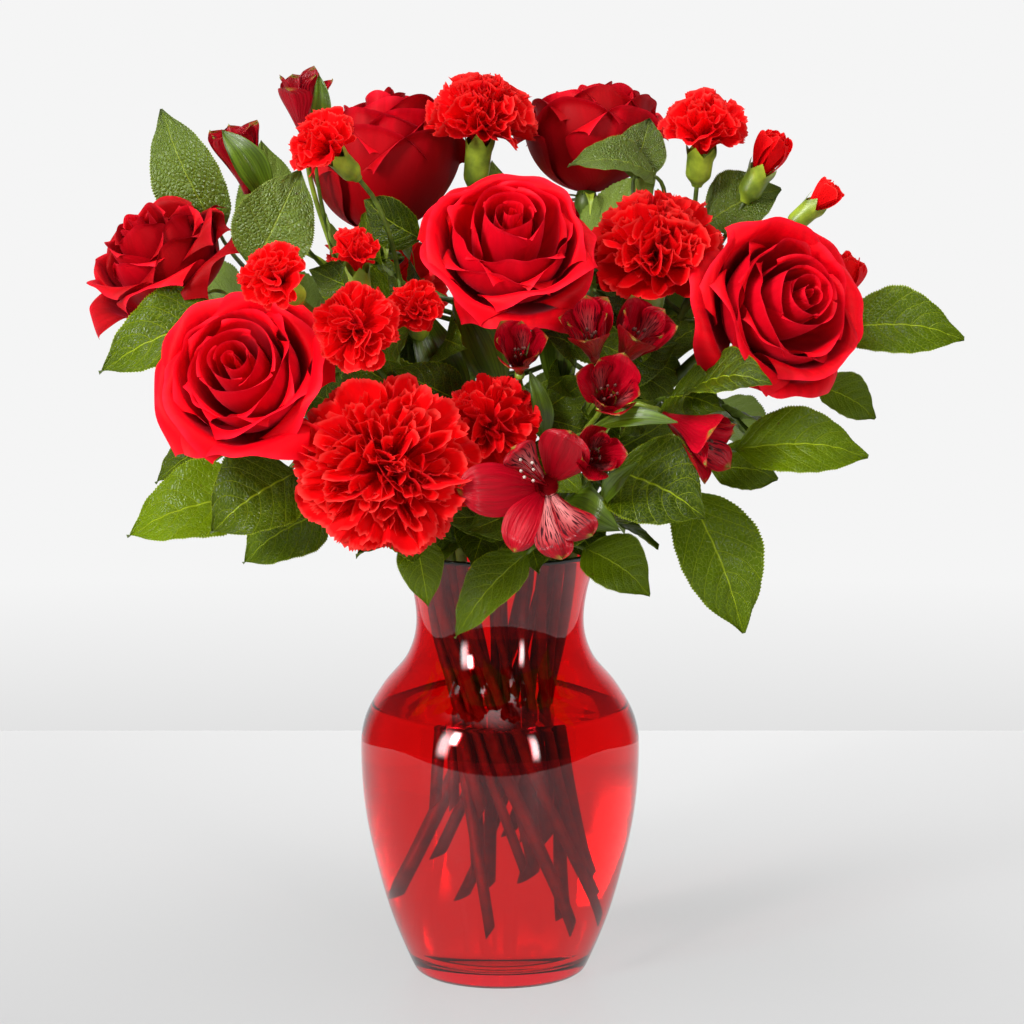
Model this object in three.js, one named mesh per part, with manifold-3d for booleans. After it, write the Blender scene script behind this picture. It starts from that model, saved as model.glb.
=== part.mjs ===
// Carnations, roses and alstroemeria with salal foliage, standing in a red glass vase of water.
// Millimetres, +Z up. The origin is the middle of the vase's flat foot; the front of the
// arrangement faces -Y, and +X is to the viewer's right.
import * as THREE from "three";
import { mergeVertices } from "three/addons/utils/BufferGeometryUtils.js";
import Module from "manifold-3d";

const wasm = await Module();
wasm.setup();

// ---------------------------------------------------------------- driving dimensions
const GAP = 0.3; // air left between pieces that touch
const VASE = {
  height: 203,
  wall: 3,
  floor: 8, // thickness of the glass under the water
  sides: 24, // flat facets round the glass
  corner: 3, // how far the inside curves in where the wall meets the floor
  waterLevel: 127,
  // outside radius and height, from the foot to the rim
  outline: [
    [38, 0],
    [42, 5],
    [53, 33],
    [62.5, 72],
    [65.3, 104],
    [63.4, 121],
    [55, 136.5],
    [43.5, 151],
    [39.2, 167],
    [42, 187],
    [49.5, 203],
  ],
};
const WAIST_Z = 168; // the narrow part of the vase, where the stems are held together
const WAIST_ROOM = 31; // how far from the axis a stem's centre may pass the waist
const RIM_ROOM = 40; // and how far from the axis it may pass the rim
const FAN_Z = 112; // the stems fan out as if from this height on the axis
const STEM_SPACING = 9.2; // least distance between stem centres at the waist
const FOOT_Z = 24; // height that the stems run towards
const FOOT_TURN = THREE.MathUtils.degToRad(105); // the stems spiral: each foot is turned by this
const FOOT_SPREAD = 1.42; // and lies this much further out than its place at the waist
const STEM_CUTS = [0.97, 0.7, 0.84, 0.58, 0.76, 0.5, 0.9]; // share of the way to FOOT_Z, in turn
const PETAL = 0.9; // thickness of a petal
const BLADE = 0.9; // thickness of a leaf

// The blooms: the middle of each, the way it faces, its outer radius and its depth.
// The blooms and leaves at the back are set where an even, round bouquet has them.
const ROSES = [
  { name: "rose_front", at: [-112, -95, 294], facing: [-0.24, -0.82, 0.52], radius: 39, depth: 48 },
  { name: "rose_centre", at: [4, -65, 351], facing: [0.08, -0.7, 0.71], radius: 40, depth: 48 },
  { name: "rose_right", at: [127, -54, 321], facing: [0.5, -0.78, 0.37], radius: 42, depth: 48 },
  { name: "rose_left", at: [-156, -14, 338], facing: [-0.52, -0.26, 0.82], radius: 38, depth: 48 },
  { name: "rose_top_left", at: [-56, 38, 379], facing: [0.05, 0.12, 0.99], radius: 36, depth: 70 },
  { name: "rose_top_right", at: [42, 52, 389], facing: [0.05, 0.3, 0.95], radius: 33, depth: 54 },
  { name: "rose_back", at: [52, 112, 322], facing: [0.3, 0.85, 0.45], radius: 37, depth: 46 },
];
const CARNATIONS = [
  { name: "carnation_front", at: [-50, -116, 258], facing: [0, -0.97, 0.2], radius: 42, depth: 38 },
  { name: "carnation_right", at: [72, -42, 349], facing: [0.12, -0.5, 0.86], radius: 32, depth: 44 },
  { name: "carnation_top", at: [-8, 15, 404], facing: [0.1, -0.15, 0.98], radius: 27, depth: 34 },
  { name: "carnation_back", at: [-62, 100, 312], facing: [-0.4, 0.8, 0.45], radius: 38, depth: 36 },
];
const SPRAY_CARNATIONS = [
  { name: "spray_left_1", at: [-80, -50, 395], facing: [-0.6, -0.45, 0.66], radius: 18, depth: 24 },
  { name: "spray_left_2", at: [-98, -124, 343], facing: [-0.45, -0.72, 0.52], radius: 17, depth: 22 },
  { name: "spray_left_3", at: [-64, -76, 349], facing: [-0.1, -0.4, 0.91], radius: 12, depth: 23 },
  { name: "spray_left_4", at: [-62, -113, 319], facing: [0, -0.94, 0.33], radius: 21, depth: 22 },
  { name: "spray_left_5", at: [-38, -78, 324], facing: [-0.1, -0.75, 0.65], radius: 14, depth: 20 },
  { name: "spray_right_1", at: [94, 0, 399], facing: [0.1, -0.25, 0.96], radius: 22, depth: 30 },
  { name: "spray_front", at: [-4, -88, 274], facing: [0.1, -0.87, 0.48], radius: 23, depth: 26 },
];
const SPRAY_BUDS = [
  { name: "bud_right_1", at: [125, 5, 386], facing: [0.45, -0.1, 0.88], radius: 9, depth: 22 },
  { name: "bud_right_2", at: [149, -10, 367], facing: [0.72, -0.1, 0.68], radius: 7.5, depth: 16 },
  { name: "bud_right_3", at: [160, 0, 330], facing: [0.35, 0, 0.93], radius: 10, depth: 20 },
];
const ALSTROEMERIAS = [
  { name: "lily_top_1", at: [-91, 20, 407], facing: [-0.05, -0.15, 0.98], radius: 16, depth: 36 },
  { name: "lily_top_2", at: [-120, 8, 384], facing: [-0.2, -0.1, 0.97], radius: 17, depth: 36 },
  { name: "lily_mid_1", at: [9, -95, 305], facing: [0, -0.8, 0.6], radius: 15, depth: 32 },
  { name: "lily_mid_2", at: [40, -88, 313], facing: [-0.15, -0.6, 0.78], radius: 16, depth: 34 },
  { name: "lily_mid_3", at: [61, -86, 311], facing: [0.38, -0.55, 0.74], radius: 18, depth: 34 },
  { name: "lily_mid_4", at: [48, -102, 288], facing: [0.15, -0.86, 0.48], radius: 19, depth: 30 },
  { name: "lily_low_1", at: [7, -116, 247], facing: [-0.05, -0.97, 0.22], radius: 29, depth: 34, stamens: 3 },
  { name: "lily_low_2", at: [42, -110, 262], facing: [0.25, -0.92, 0.3], radius: 15, depth: 30 },
  { name: "lily_low_3", at: [88, -85, 267], facing: [0.8, -0.42, -0.42], radius: 15, depth: 38 },
];

// Branching stems: where each forks above the rim, and the blooms that it carries.
const SPRAY_STEMS = [
  { name: "spray_stem_left", fork: [-36, -36, 268], carries: /^spray_left/ },
  { name: "spray_stem_front", fork: [-3, -50, 240], carries: /^spray_front/ },
  { name: "spray_stem_right", fork: [88, 10, 318], carries: /^(spray|bud)_right/ },
];
const LILY_STEMS = [
  {
    name: "lily_stem_top",
    fork: [-76, 30, 330],
    carries: /^lily_top/,
    leaves: [
      { base: [-85, 0, 394], tip: [-82, -5, 422], width: 10, up: [0.4, -0.9, 0] },
      { base: [-106, -12, 366], tip: [-126, -14, 398], width: 16, up: [0.3, -0.9, 0.2] },
    ],
  },
  {
    name: "lily_stem_mid",
    fork: [26, -46, 256],
    carries: /^lily_mid/,
    leaves: [
      { base: [-16, -50, 282], tip: [-37, -58, 320], width: 21, up: [-0.2, -1, 0] },
      { base: [0, -50, 282], tip: [-20, -54, 326], width: 21, up: [0.3, -1, 0] },
      { base: [26, -54, 284], tip: [22, -48, 326], width: 17, up: [0.2, -1, 0] },
      { base: [20, -74, 264], tip: [14, -88, 296], width: 10, up: [0.2, -0.9, 0.4] },
      { base: [40, -100, 271], tip: [77, -117, 279], width: 11, up: [0, -0.7, 0.7] },
    ],
  },
  {
    name: "lily_stem_low",
    fork: [32, -52, 222],
    carries: /^lily_low/,
    leaves: [
      { base: [30, -78, 236], tip: [51, -102, 229], width: 20, up: [-0.3, -0.8, 0.4] },
      { base: [46, -94, 238], tip: [59, -110, 258], width: 10, up: [-0.5, -0.8, 0.2] },
    ],
  },
];

// Leafy stems: the line each follows above the rim, and its leaves by base, tip, width and the
// way the upper side faces.
const LEAFY_STEMS = [
  {
    name: "leaves_top_left",
    line: [[-60, 0, 262], [-100, 0, 318]],
    leaves: [
      { base: [-130, 22, 345], tip: [-158, 30, 404], width: 34, up: [-0.3, -0.9, 0.2] },
      { base: [-112, -36, 336], tip: [-90, -30, 381], width: 37, up: [0.1, -1, 0.1] },
      { base: [-34, -30, 292], tip: [-50, -32, 324], width: 24, up: [0.1, -1, 0.1] },
    ],
  },
  {
    name: "leaves_left",
    line: [[-62, -20, 240], [-92, -22, 256]],
    leaves: [
      { base: [-122, -42, 314], tip: [-181, -54, 292], width: 40, up: [-0.1, -0.8, 0.6] },
      { base: [-112, -24, 230], tip: [-172, -28, 213], width: 40, up: [-0.1, -0.8, 0.6] },
      { base: [-124, 2, 254], tip: [-160, -2, 232], width: 24, up: [-0.5, -0.7, 0.5] },
    ],
  },
  {
    name: "leaves_front_left",
    line: [[-44, -34, 224], [-68, -40, 234]],
    leaves: [
      { base: [-92, -60, 246], tip: [-130, -74, 222], width: 44, up: [-0.2, -0.9, 0.4] },
      { base: [-78, -40, 226], tip: [-118, -44, 203], width: 36, up: [0, -0.8, 0.6] },
      { base: [-38, -58, 216], tip: [-32, -74, 188], width: 21, up: [0, -0.9, 0.4] },
    ],
  },
  {
    name: "leaves_front",
    line: [[22, -44, 213]],
    leaves: [
      { base: [13, -66, 211], tip: [-20, -70, 172], width: 25, up: [-0.5, -0.8, 0.3] },
      { base: [38, -62, 212], tip: [68, -74, 194], width: 30, up: [0.1, -0.8, 0.6] },
    ],
  },
  {
    name: "leaves_front_right",
    line: [[48, -34, 222], [72, -44, 236]],
    leaves: [
      { base: [50, -78, 250], tip: [91, -100, 234], width: 47, up: [-0.1, -0.8, 0.6] },
      { base: [84, -60, 238], tip: [110, -68, 174], width: 41, up: [0.3, -0.9, 0.2] },
      { base: [106, -62, 257], tip: [167, -58, 255], width: 34, up: [0, -0.8, 0.6] },
      { base: [96, -32, 244], tip: [128, -30, 240], width: 26, up: [0.1, -0.8, 0.6] },
    ],
  },
  {
    name: "leaves_right",
    line: [[76, -6, 262], [104, -8, 288]],
    leaves: [
      { base: [84, -71, 284], tip: [119, -97, 294], width: 33, up: [0.1, -0.6, 0.8] },
      { base: [76, -58, 280], tip: [98, -84, 280], width: 30, up: [-0.3, -0.8, 0.6] },
      { base: [146, -8, 279], tip: [174, -8, 264], width: 24, up: [0.2, -0.8, 0.6] },
      { base: [156, -14, 306], tip: [213, -20, 304], width: 36, up: [0.1, -0.8, 0.6] },
    ],
  },
  {
    name: "leaves_top_right",
    line: [[46, 20, 290], [74, 22, 340]],
    leaves: [
      { base: [72, 14, 374], tip: [32, -8, 382], width: 28, up: [0, -0.6, 0.8] },
      { base: [62, 22, 372], tip: [70, 28, 400], width: 24, up: [0, -1, 0.2] },
      { base: [96, 14, 352], tip: [130, 14, 369], width: 32, up: [0.1, -0.8, 0.6] },
      { base: [46, -28, 294], tip: [62, -30, 326], width: 26, up: [-0.2, -1, 0.2] },
    ],
  },
  {
    name: "leaves_back_left",
    line: [[-44, 40, 250], [-84, 60, 290]],
    leaves: [
      { base: [-110, 60, 300], tip: [-168, 72, 318], width: 38, up: [-0.2, 0.7, 0.7] },
      { base: [-92, 72, 262], tip: [-140, 96, 234], width: 38, up: [-0.3, 0.7, 0.6] },
      { base: [-64, 74, 236], tip: [-80, 106, 192], width: 36, up: [-0.2, 0.9, 0.4] },
      { base: [-106, 66, 330], tip: [-114, 76, 386], width: 34, up: [-0.1, 1, 0.1] },
    ],
  },
  {
    name: "leaves_back_right",
    line: [[40, 44, 244], [70, 66, 270]],
    leaves: [
      { base: [112, 62, 300], tip: [166, 74, 312], width: 38, up: [0.2, 0.7, 0.7] },
      { base: [92, 78, 254], tip: [136, 98, 226], width: 38, up: [0.3, 0.7, 0.6] },
      { base: [22, 76, 226], tip: [16, 104, 184], width: 36, up: [0, 0.9, 0.4] },
      { base: [0, 92, 320], tip: [-4, 104, 374], width: 34, up: [0, 1, 0.1] },
    ],
  },
];

// ---------------------------------------------------------------- solids and meshes
const vec = (p) => new THREE.Vector3(...p);

// A closed three.js geometry as a manifold solid.
function solidOf(geometry) {
  const bare = geometry.clone();
  bare.deleteAttribute("normal");
  bare.deleteAttribute("uv");
  const merged = mergeVertices(bare, 1e-4);
  return new wasm.Manifold(
    new wasm.Mesh({
      numProp: 3,
      vertProperties: Float32Array.from(merged.attributes.position.array),
      triVerts: Uint32Array.from(merged.index.array),
    }),
  );
}

function solidOfFaces(points, faces) {
  const geometry = new THREE.BufferGeometry();
  const numbers = points.flatMap((p) => p.toArray());
  geometry.setAttribute("position", new THREE.Float32BufferAttribute(numbers, 3));
  geometry.setIndex(faces.flat());
  return solidOf(geometry);
}

function geometryOf(solid) {
  const { vertProperties, triVerts } = solid.getMesh();
  const geometry = new THREE.BufferGeometry();
  geometry.setAttribute("position", new THREE.BufferAttribute(vertProperties, 3));
  geometry.setIndex(new THREE.BufferAttribute(triVerts, 1));
  geometry.computeVertexNormals();
  return geometry;
}

const join = (solids) => wasm.Manifold.union(solids);
const largestBody = (solid) => solid.decompose().reduce((a, b) => (b.volume() > a.volume() ? b : a));

// A thin closed blade through rows of points, each row running across it. Rows may differ in
// their number of points, and both faces are cut along the same lines.
function blade(rows, thickness) {
  const points = rows.flat();
  const starts = rows.map((_, i) => rows.slice(0, i).flat().length);
  const faces = [];
  for (let i = 0; i + 1 < rows.length; i++) {
    const [m, n] = [rows[i].length - 1, rows[i + 1].length - 1];
    let [a, b] = [0, 0];
    while (a < m || b < n) {
      const [low, high] = [starts[i] + a, starts[i + 1] + b];
      if (b >= n || (a < m && (a + 0.5) * n < (b + 0.5) * m)) {
        faces.push([low, low + 1, high]);
        a++;
      } else {
        faces.push([low, high + 1, high]);
        b++;
      }
    }
  }
  const normals = points.map(() => new THREE.Vector3());
  for (const face of faces) {
    const [p, q, r] = face.map((k) => points[k]);
    const normal = q.clone().sub(p).cross(r.clone().sub(p));
    face.forEach((k) => normals[k].add(normal));
  }
  normals.forEach((normal) => normal.setLength(thickness / 2));
  const front = points.map((p, k) => p.clone().add(normals[k]));
  const back = points.map((p, k) => p.clone().sub(normals[k]));
  const rim = [
    ...rows[0].map((_, j) => j),
    ...rows.slice(1).map((row, i) => starts[i + 1] + row.length - 1),
    ...rows.at(-1).map((_, j, row) => starts.at(-1) + row.length - 1 - j),
    ...starts.slice(1).reverse(),
  ].filter((k, i, all) => all.indexOf(k) === i);
  const n = points.length;
  const closed = [...faces, ...faces.map(([p, q, r]) => [r + n, q + n, p + n])];
  rim.forEach((from, k) => {
    const to = rim[(k + 1) % rim.length];
    closed.push([from, from + n, to + n], [from, to + n, to]);
  });
  return solidOfFaces([...front, ...back], closed);
}

// A round tube through a line of points with a radius at each, its rings square to the line.
function tube(points, radii, sides) {
  const line = points.map((p) => p.clone());
  const rings = [];
  let side = null;
  line.forEach((p, i) => {
    const before = line[Math.max(i - 1, 0)];
    const after = line[Math.min(i + 1, line.length - 1)];
    const along = after.clone().sub(before).normalize();
    if (!side) side = Math.abs(along.z) < 0.9 ? new THREE.Vector3(0, 0, 1) : new THREE.Vector3(1, 0, 0);
    side = side.clone().addScaledVector(along, -side.dot(along)).normalize();
    const other = along.clone().cross(side);
    for (let k = 0; k < sides; k++) {
      const turn = (2 * Math.PI * k) / sides;
      rings.push(
        p.clone()
          .addScaledVector(side, radii[i] * Math.cos(turn))
          .addScaledVector(other, radii[i] * Math.sin(turn)),
      );
    }
  });
  const last = (line.length - 1) * sides;
  const faces = [];
  for (let i = 0; i < line.length - 1; i++)
    for (let k = 0; k < sides; k++) {
      const next = (k + 1) % sides;
      const [a, b, c, d] = [i * sides + k, i * sides + next, (i + 1) * sides + next, (i + 1) * sides + k];
      faces.push([a, b, c], [a, c, d]);
    }
  for (let k = 1; k < sides - 1; k++) {
    faces.push([0, k + 1, k]);
    faces.push([last, last + k, last + k + 1]);
  }
  return solidOfFaces(rings, faces);
}

// A solid turned about +Z from a profile of [radius, height] that starts and ends on the axis.
function turned(profile, sides) {
  const points = profile.map(([r, z]) => new THREE.Vector2(r, z));
  return solidOf(new THREE.LatheGeometry(points, sides).rotateX(Math.PI / 2));
}

// A closed body round +Z between two poles on the axis, through rings of count points each.
// A ring is [radius, height, shift], and shift(k) = [out, up] moves its point k.
function ringed(bottom, rings, top, count) {
  const points = rings.flatMap(([r, z, shift = () => [0, 0]]) =>
    Array.from({ length: count }, (_, k) => {
      const [out, up] = shift(k);
      const angle = (2 * Math.PI * k) / count;
      return new THREE.Vector3((r + out) * Math.cos(angle), (r + out) * Math.sin(angle), z + up);
    }),
  );
  const [low, high] = [points.length, points.length + 1];
  const last = points.length - count;
  const faces = [];
  for (let k = 0; k < count; k++) {
    const next = (k + 1) % count;
    faces.push([low, next, k], [high, last + k, last + next]);
    for (let i = 0; i < last; i += count) {
      faces.push([i + k, i + next, i + count + next], [i + k, i + count + next, i + count + k]);
    }
  }
  const poles = [new THREE.Vector3(0, 0, bottom), new THREE.Vector3(0, 0, top)];
  return solidOfFaces([...points, ...poles], faces);
}

// Moves a solid made round +Z, with its foot at the origin, to a bloom's place.
function facingSolid(solid, bloom) {
  const facing = vec(bloom.facing).normalize();
  const foot = footOf(bloom);
  const turn = new THREE.Quaternion().setFromUnitVectors(new THREE.Vector3(0, 0, 1), facing);
  const matrix = new THREE.Matrix4().compose(foot, turn, new THREE.Vector3(1, 1, 1));
  return solid.transform(matrix.elements);
}

const footOf = (bloom) => vec(bloom.at).addScaledVector(vec(bloom.facing).normalize(), -bloom.depth / 2);

// Where the stem of a bloom ends, just clear of the bloom.
function seatOf(bloom) {
  const clear = GAP * (1.1 + bloom.depth / bloom.radius);
  return footOf(bloom).addScaledVector(vec(bloom.facing).normalize(), -clear);
}

// ---------------------------------------------------------------- petals and blooms
// A row of points on a circle round +Z, between two angles, each moved by shape(u) = [out, up],
// where u runs from -1 to 1 across the row.
function arcRow([r, z], turn, halfAngle, count, shape = () => [0, 0]) {
  return Array.from({ length: count }, (_, j) => {
    const u = count > 1 ? (2 * j) / (count - 1) - 1 : 0;
    const [out, up] = shape(u, j);
    const angle = turn + u * halfAngle;
    return new THREE.Vector3((r + out) * Math.cos(angle), (r + out) * Math.sin(angle), z + up);
  });
}

const around = (count, turn, make) =>
  Array.from({ length: count }, (_, k) => make(turn + (2 * Math.PI * k) / count, k));

// A rose: a wound middle, whose lips stand up one inside another with a notch where each petal
// ends, and four loose petals round it that curl outwards.
function rose({ radius: R, depth: H }) {
  const petals = 3;
  const points = 4;
  const lip = (lag) => (k) => {
    const place = (k + lag) % points;
    return [[-0.03 * R, -0.16 * H], [0.02 * R, -0.03 * H], [0, 0], [-0.02 * R, -0.05 * H]][place];
  };
  const middle = ringed(
    0,
    [
      [0.2 * R, 0],
      [0.62 * R, 0.4 * H],
      [0.68 * R, 0.92 * H, lip(0)],
      [0.65 * R, 0.92 * H, lip(0)],
      [0.45 * R, 0.62 * H],
      [0.42 * R, H, lip(2)],
      [0.39 * R, H, lip(2)],
      [0.22 * R, 0.76 * H],
    ],
    0.96 * H,
    petals * points,
  );
  const loose = around(4, 0.2, (angle) =>
    blade(
      [
        arcRow([0.3 * R, 0.1 * H], angle, 0.3, 2),
        arcRow([0.82 * R, 0.38 * H], angle, 0.78, 3),
        arcRow([R, 0.78 * H], angle, 0.64, 4, (u) => [0.05 * H * u * u, -0.2 * H * u * u]),
      ],
      PETAL,
    ),
  );
  return join([middle, ...loose]);
}

// A carnation: layers of petals, one above another, that stand out of a small middle. A layer's
// rim is a thin edge, frilled up and down, with a notch between one petal and the next.
function carnation({ radius: R, depth: H }, { petals, points, layers, dip }) {
  const rings = [[0.17 * R, 0]];
  layers.forEach(({ rim: [r, z], valley, frill }, layer) => {
    const shift = (k) => {
      const place = (k + layer * Math.floor(points / 2)) % points;
      if (place === 0) return [-0.36 * r * R, -0.04 * H];
      return place % 2 ? [0, frill * H] : [-0.07 * R, -frill * H];
    };
    rings.push([r * R, z * H, shift], [(r - 0.02) * R, z * H + PETAL, shift]);
    if (valley) rings.push([valley[0] * R, valley[1] * H]);
  });
  return ringed(0, rings, dip * H, petals * points);
}

const FULL_HEAD = {
  petals: 6,
  points: 4,
  dip: 0.74,
  layers: [
    { rim: [1, 0.28], frill: 0.07, valley: [0.46, 0.4] },
    { rim: [0.87, 0.62], frill: 0.08, valley: [0.32, 0.66] },
    { rim: [0.55, 0.88], frill: 0.08 },
  ],
};
const SMALL_HEAD = {
  petals: 4,
  points: 4,
  dip: 0.68,
  layers: [
    { rim: [1, 0.46], frill: 0.08, valley: [0.38, 0.58] },
    { rim: [0.66, 0.88], frill: 0.07 },
  ],
};
const BUD_HEAD = { petals: 3, points: 3, dip: 0.5, layers: [{ rim: [0.9, 0.9], frill: 0.05 }] };

// One tepal: a spoon that leaves the throat on the line of turn and opens outwards.
function tepal({ R, H, turn, root, belly, tip, width }) {
  const out = new THREE.Vector3(Math.cos(turn), Math.sin(turn), 0);
  const side = new THREE.Vector3(-Math.sin(turn), Math.cos(turn), 0);
  const point = ([r, z], u, lift) =>
    out.clone()
      .multiplyScalar(r * R)
      .addScaledVector(side, u * width * R)
      .setZ((z + lift) * H);
  const middle = belly.map((place, i) => {
    const share = i ? 1 : 0.8;
    return [-1, 0, 1].map((u) => point(place, u * share, u ? 0.06 * share : 0));
  });
  return blade([[point(root, 0, 0)], ...middle, [point(tip, 0, 0)]], PETAL);
}

// An alstroemeria: a throat with three broad outer tepals, three narrow inner ones and, in an
// open flower, stamens.
function alstroemeria({ radius: R, depth: H, stamens = 0 }) {
  const throat = turned([[0, 0], [0.14 * R, 0], [0.26 * R, 0.34 * H], [0, 0.46 * H]], 5);
  const outer = { root: [0.16, 0.12], belly: [[0.46, 0.56], [0.84, 0.86]], tip: [1, 0.9], width: 0.44 };
  const inner = { root: [0.14, 0.26], belly: [[0.44, 0.84]], tip: [0.68, 0.99], width: 0.24 };
  const parts = [throat];
  parts.push(...around(3, 0, (turn) => tepal({ R, H, turn, ...outer })));
  parts.push(...around(3, Math.PI / 3, (turn) => tepal({ R, H, turn, ...inner })));
  parts.push(
    ...around(stamens, 0.2, (turn) => {
      const tip = new THREE.Vector3(0.16 * R * Math.cos(turn), 0.16 * R * Math.sin(turn), 0.9 * H);
      return tube([new THREE.Vector3(0.3 * tip.x, 0.3 * tip.y, 0.34 * H), tip], [0.6, 0.6], 3);
    }),
  );
  return join(parts);
}

// ---------------------------------------------------------------- stems and leaves
// All the stems pass the waist of the vase. Each starts on the line towards its bloom, and those
// that would touch are pushed apart within the ring that the glass leaves free.
function placesAtWaist(targets) {
  const places = targets.map((p) => {
    const share = (WAIST_Z - FAN_Z) / (p.z - FAN_Z);
    return new THREE.Vector2(p.x, p.y).multiplyScalar(share);
  });
  for (let round = 0; round < 400; round++) {
    for (let i = 0; i < places.length; i++)
      for (let j = i + 1; j < places.length; j++) {
        const apart = places[j].clone().sub(places[i]);
        const near = STEM_SPACING - apart.length();
        if (near <= 0) continue;
        apart.setLength(near / 2);
        places[j].add(apart);
        places[i].sub(apart);
      }
    places.forEach((p) => p.clampLength(0, WAIST_ROOM));
  }
  return places;
}

// The foot of a stem. Each stem runs straight from the waist towards a place near the floor that
// is turned about the axis and further out, so that no two meet, and is cut off at its own length.
function footAt(place, order) {
  const spot = place.clone().multiplyScalar(FOOT_SPREAD).rotateAround(new THREE.Vector2(), FOOT_TURN);
  const waist = new THREE.Vector3(place.x, place.y, WAIST_Z);
  const cut = STEM_CUTS[order % STEM_CUTS.length];
  return waist.lerp(new THREE.Vector3(spot.x, spot.y, FOOT_Z), cut);
}

// The line of a stem: from its foot in the water, past the waist and inside the rim, to an end
// with a direction.
function stemLine(place, order, end, direction, bends, grow) {
  const foot = footAt(place, order);
  const waist = new THREE.Vector3(place.x, place.y, WAIST_Z);
  const towards = new THREE.Vector2(end.x, end.y).clampLength(0, RIM_ROOM);
  const atRim = new THREE.Vector2().lerpVectors(place, towards, 0.45).clampLength(0, RIM_ROOM);
  const rim = new THREE.Vector3(atRim.x, atRim.y, VASE.height);
  const rise = rim.clone().sub(waist).normalize();
  const reach = end.distanceTo(rim);
  const curve = new THREE.CubicBezierCurve3(
    rim,
    rim.clone().addScaledVector(rise, 0.3 * reach),
    end.clone().addScaledVector(direction, -0.35 * reach),
    end,
  );
  foot.add(foot.clone().sub(waist).setLength(grow));
  return [foot, waist, ...curve.getPoints(bends)];
}

// A sepal: a pointed blade, 18 mm long, that bends down and away from the bloom.
function sepal(foot, facing, turn, grow) {
  const side = new THREE.Vector3(0, 0, 1).cross(facing).normalize().applyAxisAngle(facing, turn);
  const across = facing.clone().cross(side);
  const point = (out, up, half) =>
    foot.clone()
      .addScaledVector(side, out)
      .addScaledVector(facing, up)
      .addScaledVector(across, half + Math.sign(half) * grow);
  const rows = [
    [point(3, -2, 2.2), point(3, -2, -2.2)],
    [point(12, -3.5, 2.8), point(12, -3.5, -2.8)],
    [point(18 + grow, -8, 0)],
  ];
  return blade(rows, BLADE + 2 * grow);
}

// The stem of one bloom: a round stalk that swells into what carries the petals.
function bloomStem(bloom, place, order, { stalk, cup, cupLength, sepals }, grow = 0) {
  const facing = vec(bloom.facing).normalize();
  const top = seatOf(bloom);
  const neck = top.clone().addScaledVector(facing, -cupLength);
  const belly = top.clone().addScaledVector(facing, -0.55 * cupLength);
  const line = stemLine(place, order, neck, facing, 4, grow);
  const radii = [...line.map(() => stalk), cup, 0.92 * cup].map((r) => r + grow);
  return join([
    tube([...line, belly, top.addScaledVector(facing, grow)], radii, 5),
    ...around(sepals, 0.3, (turn) => sepal(top, facing, turn, grow)),
  ]);
}

// A branching stem: a stalk up to the fork, with a thin branch and a small cup for each bloom.
// The branches leave the stalk one under another, and the leaves below them.
function branchingStem({ fork, leaves = [] }, blooms, place, order, shape, grow = 0) {
  const { stalk, branch, cup, cupLength } = shape;
  const forkAt = vec(fork);
  const direction = forkAt.clone().sub(new THREE.Vector3(0, 0, FAN_Z)).normalize();
  const line = stemLine(place, order, forkAt, direction, 3, grow);
  const below = (distance) => forkAt.clone().add(line.at(-2).clone().sub(forkAt).setLength(distance));
  const solids = [tube(line, line.map(() => stalk + grow), 5)];
  blooms.forEach((bloom, k) => {
    const facing = vec(bloom.facing).normalize();
    const top = seatOf(bloom);
    const neck = top.clone().addScaledVector(facing, -cupLength);
    const start = below(2 + 4 * k);
    const span = neck.clone().sub(start);
    const curve = new THREE.CubicBezierCurve3(
      start,
      start.clone().addScaledVector(span, 0.2).addScaledVector(direction, 0.15 * span.length()),
      neck.clone().addScaledVector(facing, -0.3 * span.length()),
      neck,
    );
    const radii = [branch, branch, branch, 1.3 * branch, cup].map((r) => r + grow);
    solids.push(tube([...curve.getPoints(3), top.addScaledVector(facing, grow)], radii, 4));
  });
  leaves.forEach((leaf, k) => {
    const from = below(4 * (blooms.length + k));
    solids.push(leafFrom(from, leaf, grow));
  });
  return join(solids);
}

// A leaf with its stalk, from a place on its stem: a folded, arched blade with a pointed tip and
// a waved edge.
function leafFrom(from, { base, tip, width, up }, grow) {
  const start = vec(base);
  const length = start.distanceTo(vec(tip));
  const along = vec(tip).sub(start).normalize();
  const normal = vec(up).addScaledVector(along, -vec(up).dot(along)).normalize();
  const across = along.clone().cross(normal);
  const bend = start.clone().addScaledVector(along, -0.3 * start.distanceTo(from));
  const strip = (p, half) => [1, -1].map((u) => p.clone().addScaledVector(across, u * (half + grow)));
  const stations = [[0.16, 0.74], [0.42, 1], [0.74, 0.7], [1, 0]];
  const rows = stations.map(([t, share], i) =>
    (share ? [1, 0, -1] : [0]).map((u) => {
      const half = (u * share * width) / 2;
      const fold = 0.16 * Math.abs(half) + (i % 2 ? -0.03 : 0.03) * width * u;
      const arch = 0.1 * length * Math.sin(Math.PI * t);
      return start.clone()
        .addScaledVector(along, t * (length + grow))
        .addScaledVector(across, half + u * grow)
        .addScaledVector(normal, arch + fold);
    }),
  );
  return blade([strip(from, 1.3), strip(bend, 1.1), strip(start, 1), ...rows], BLADE + 2 * grow);
}

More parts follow.
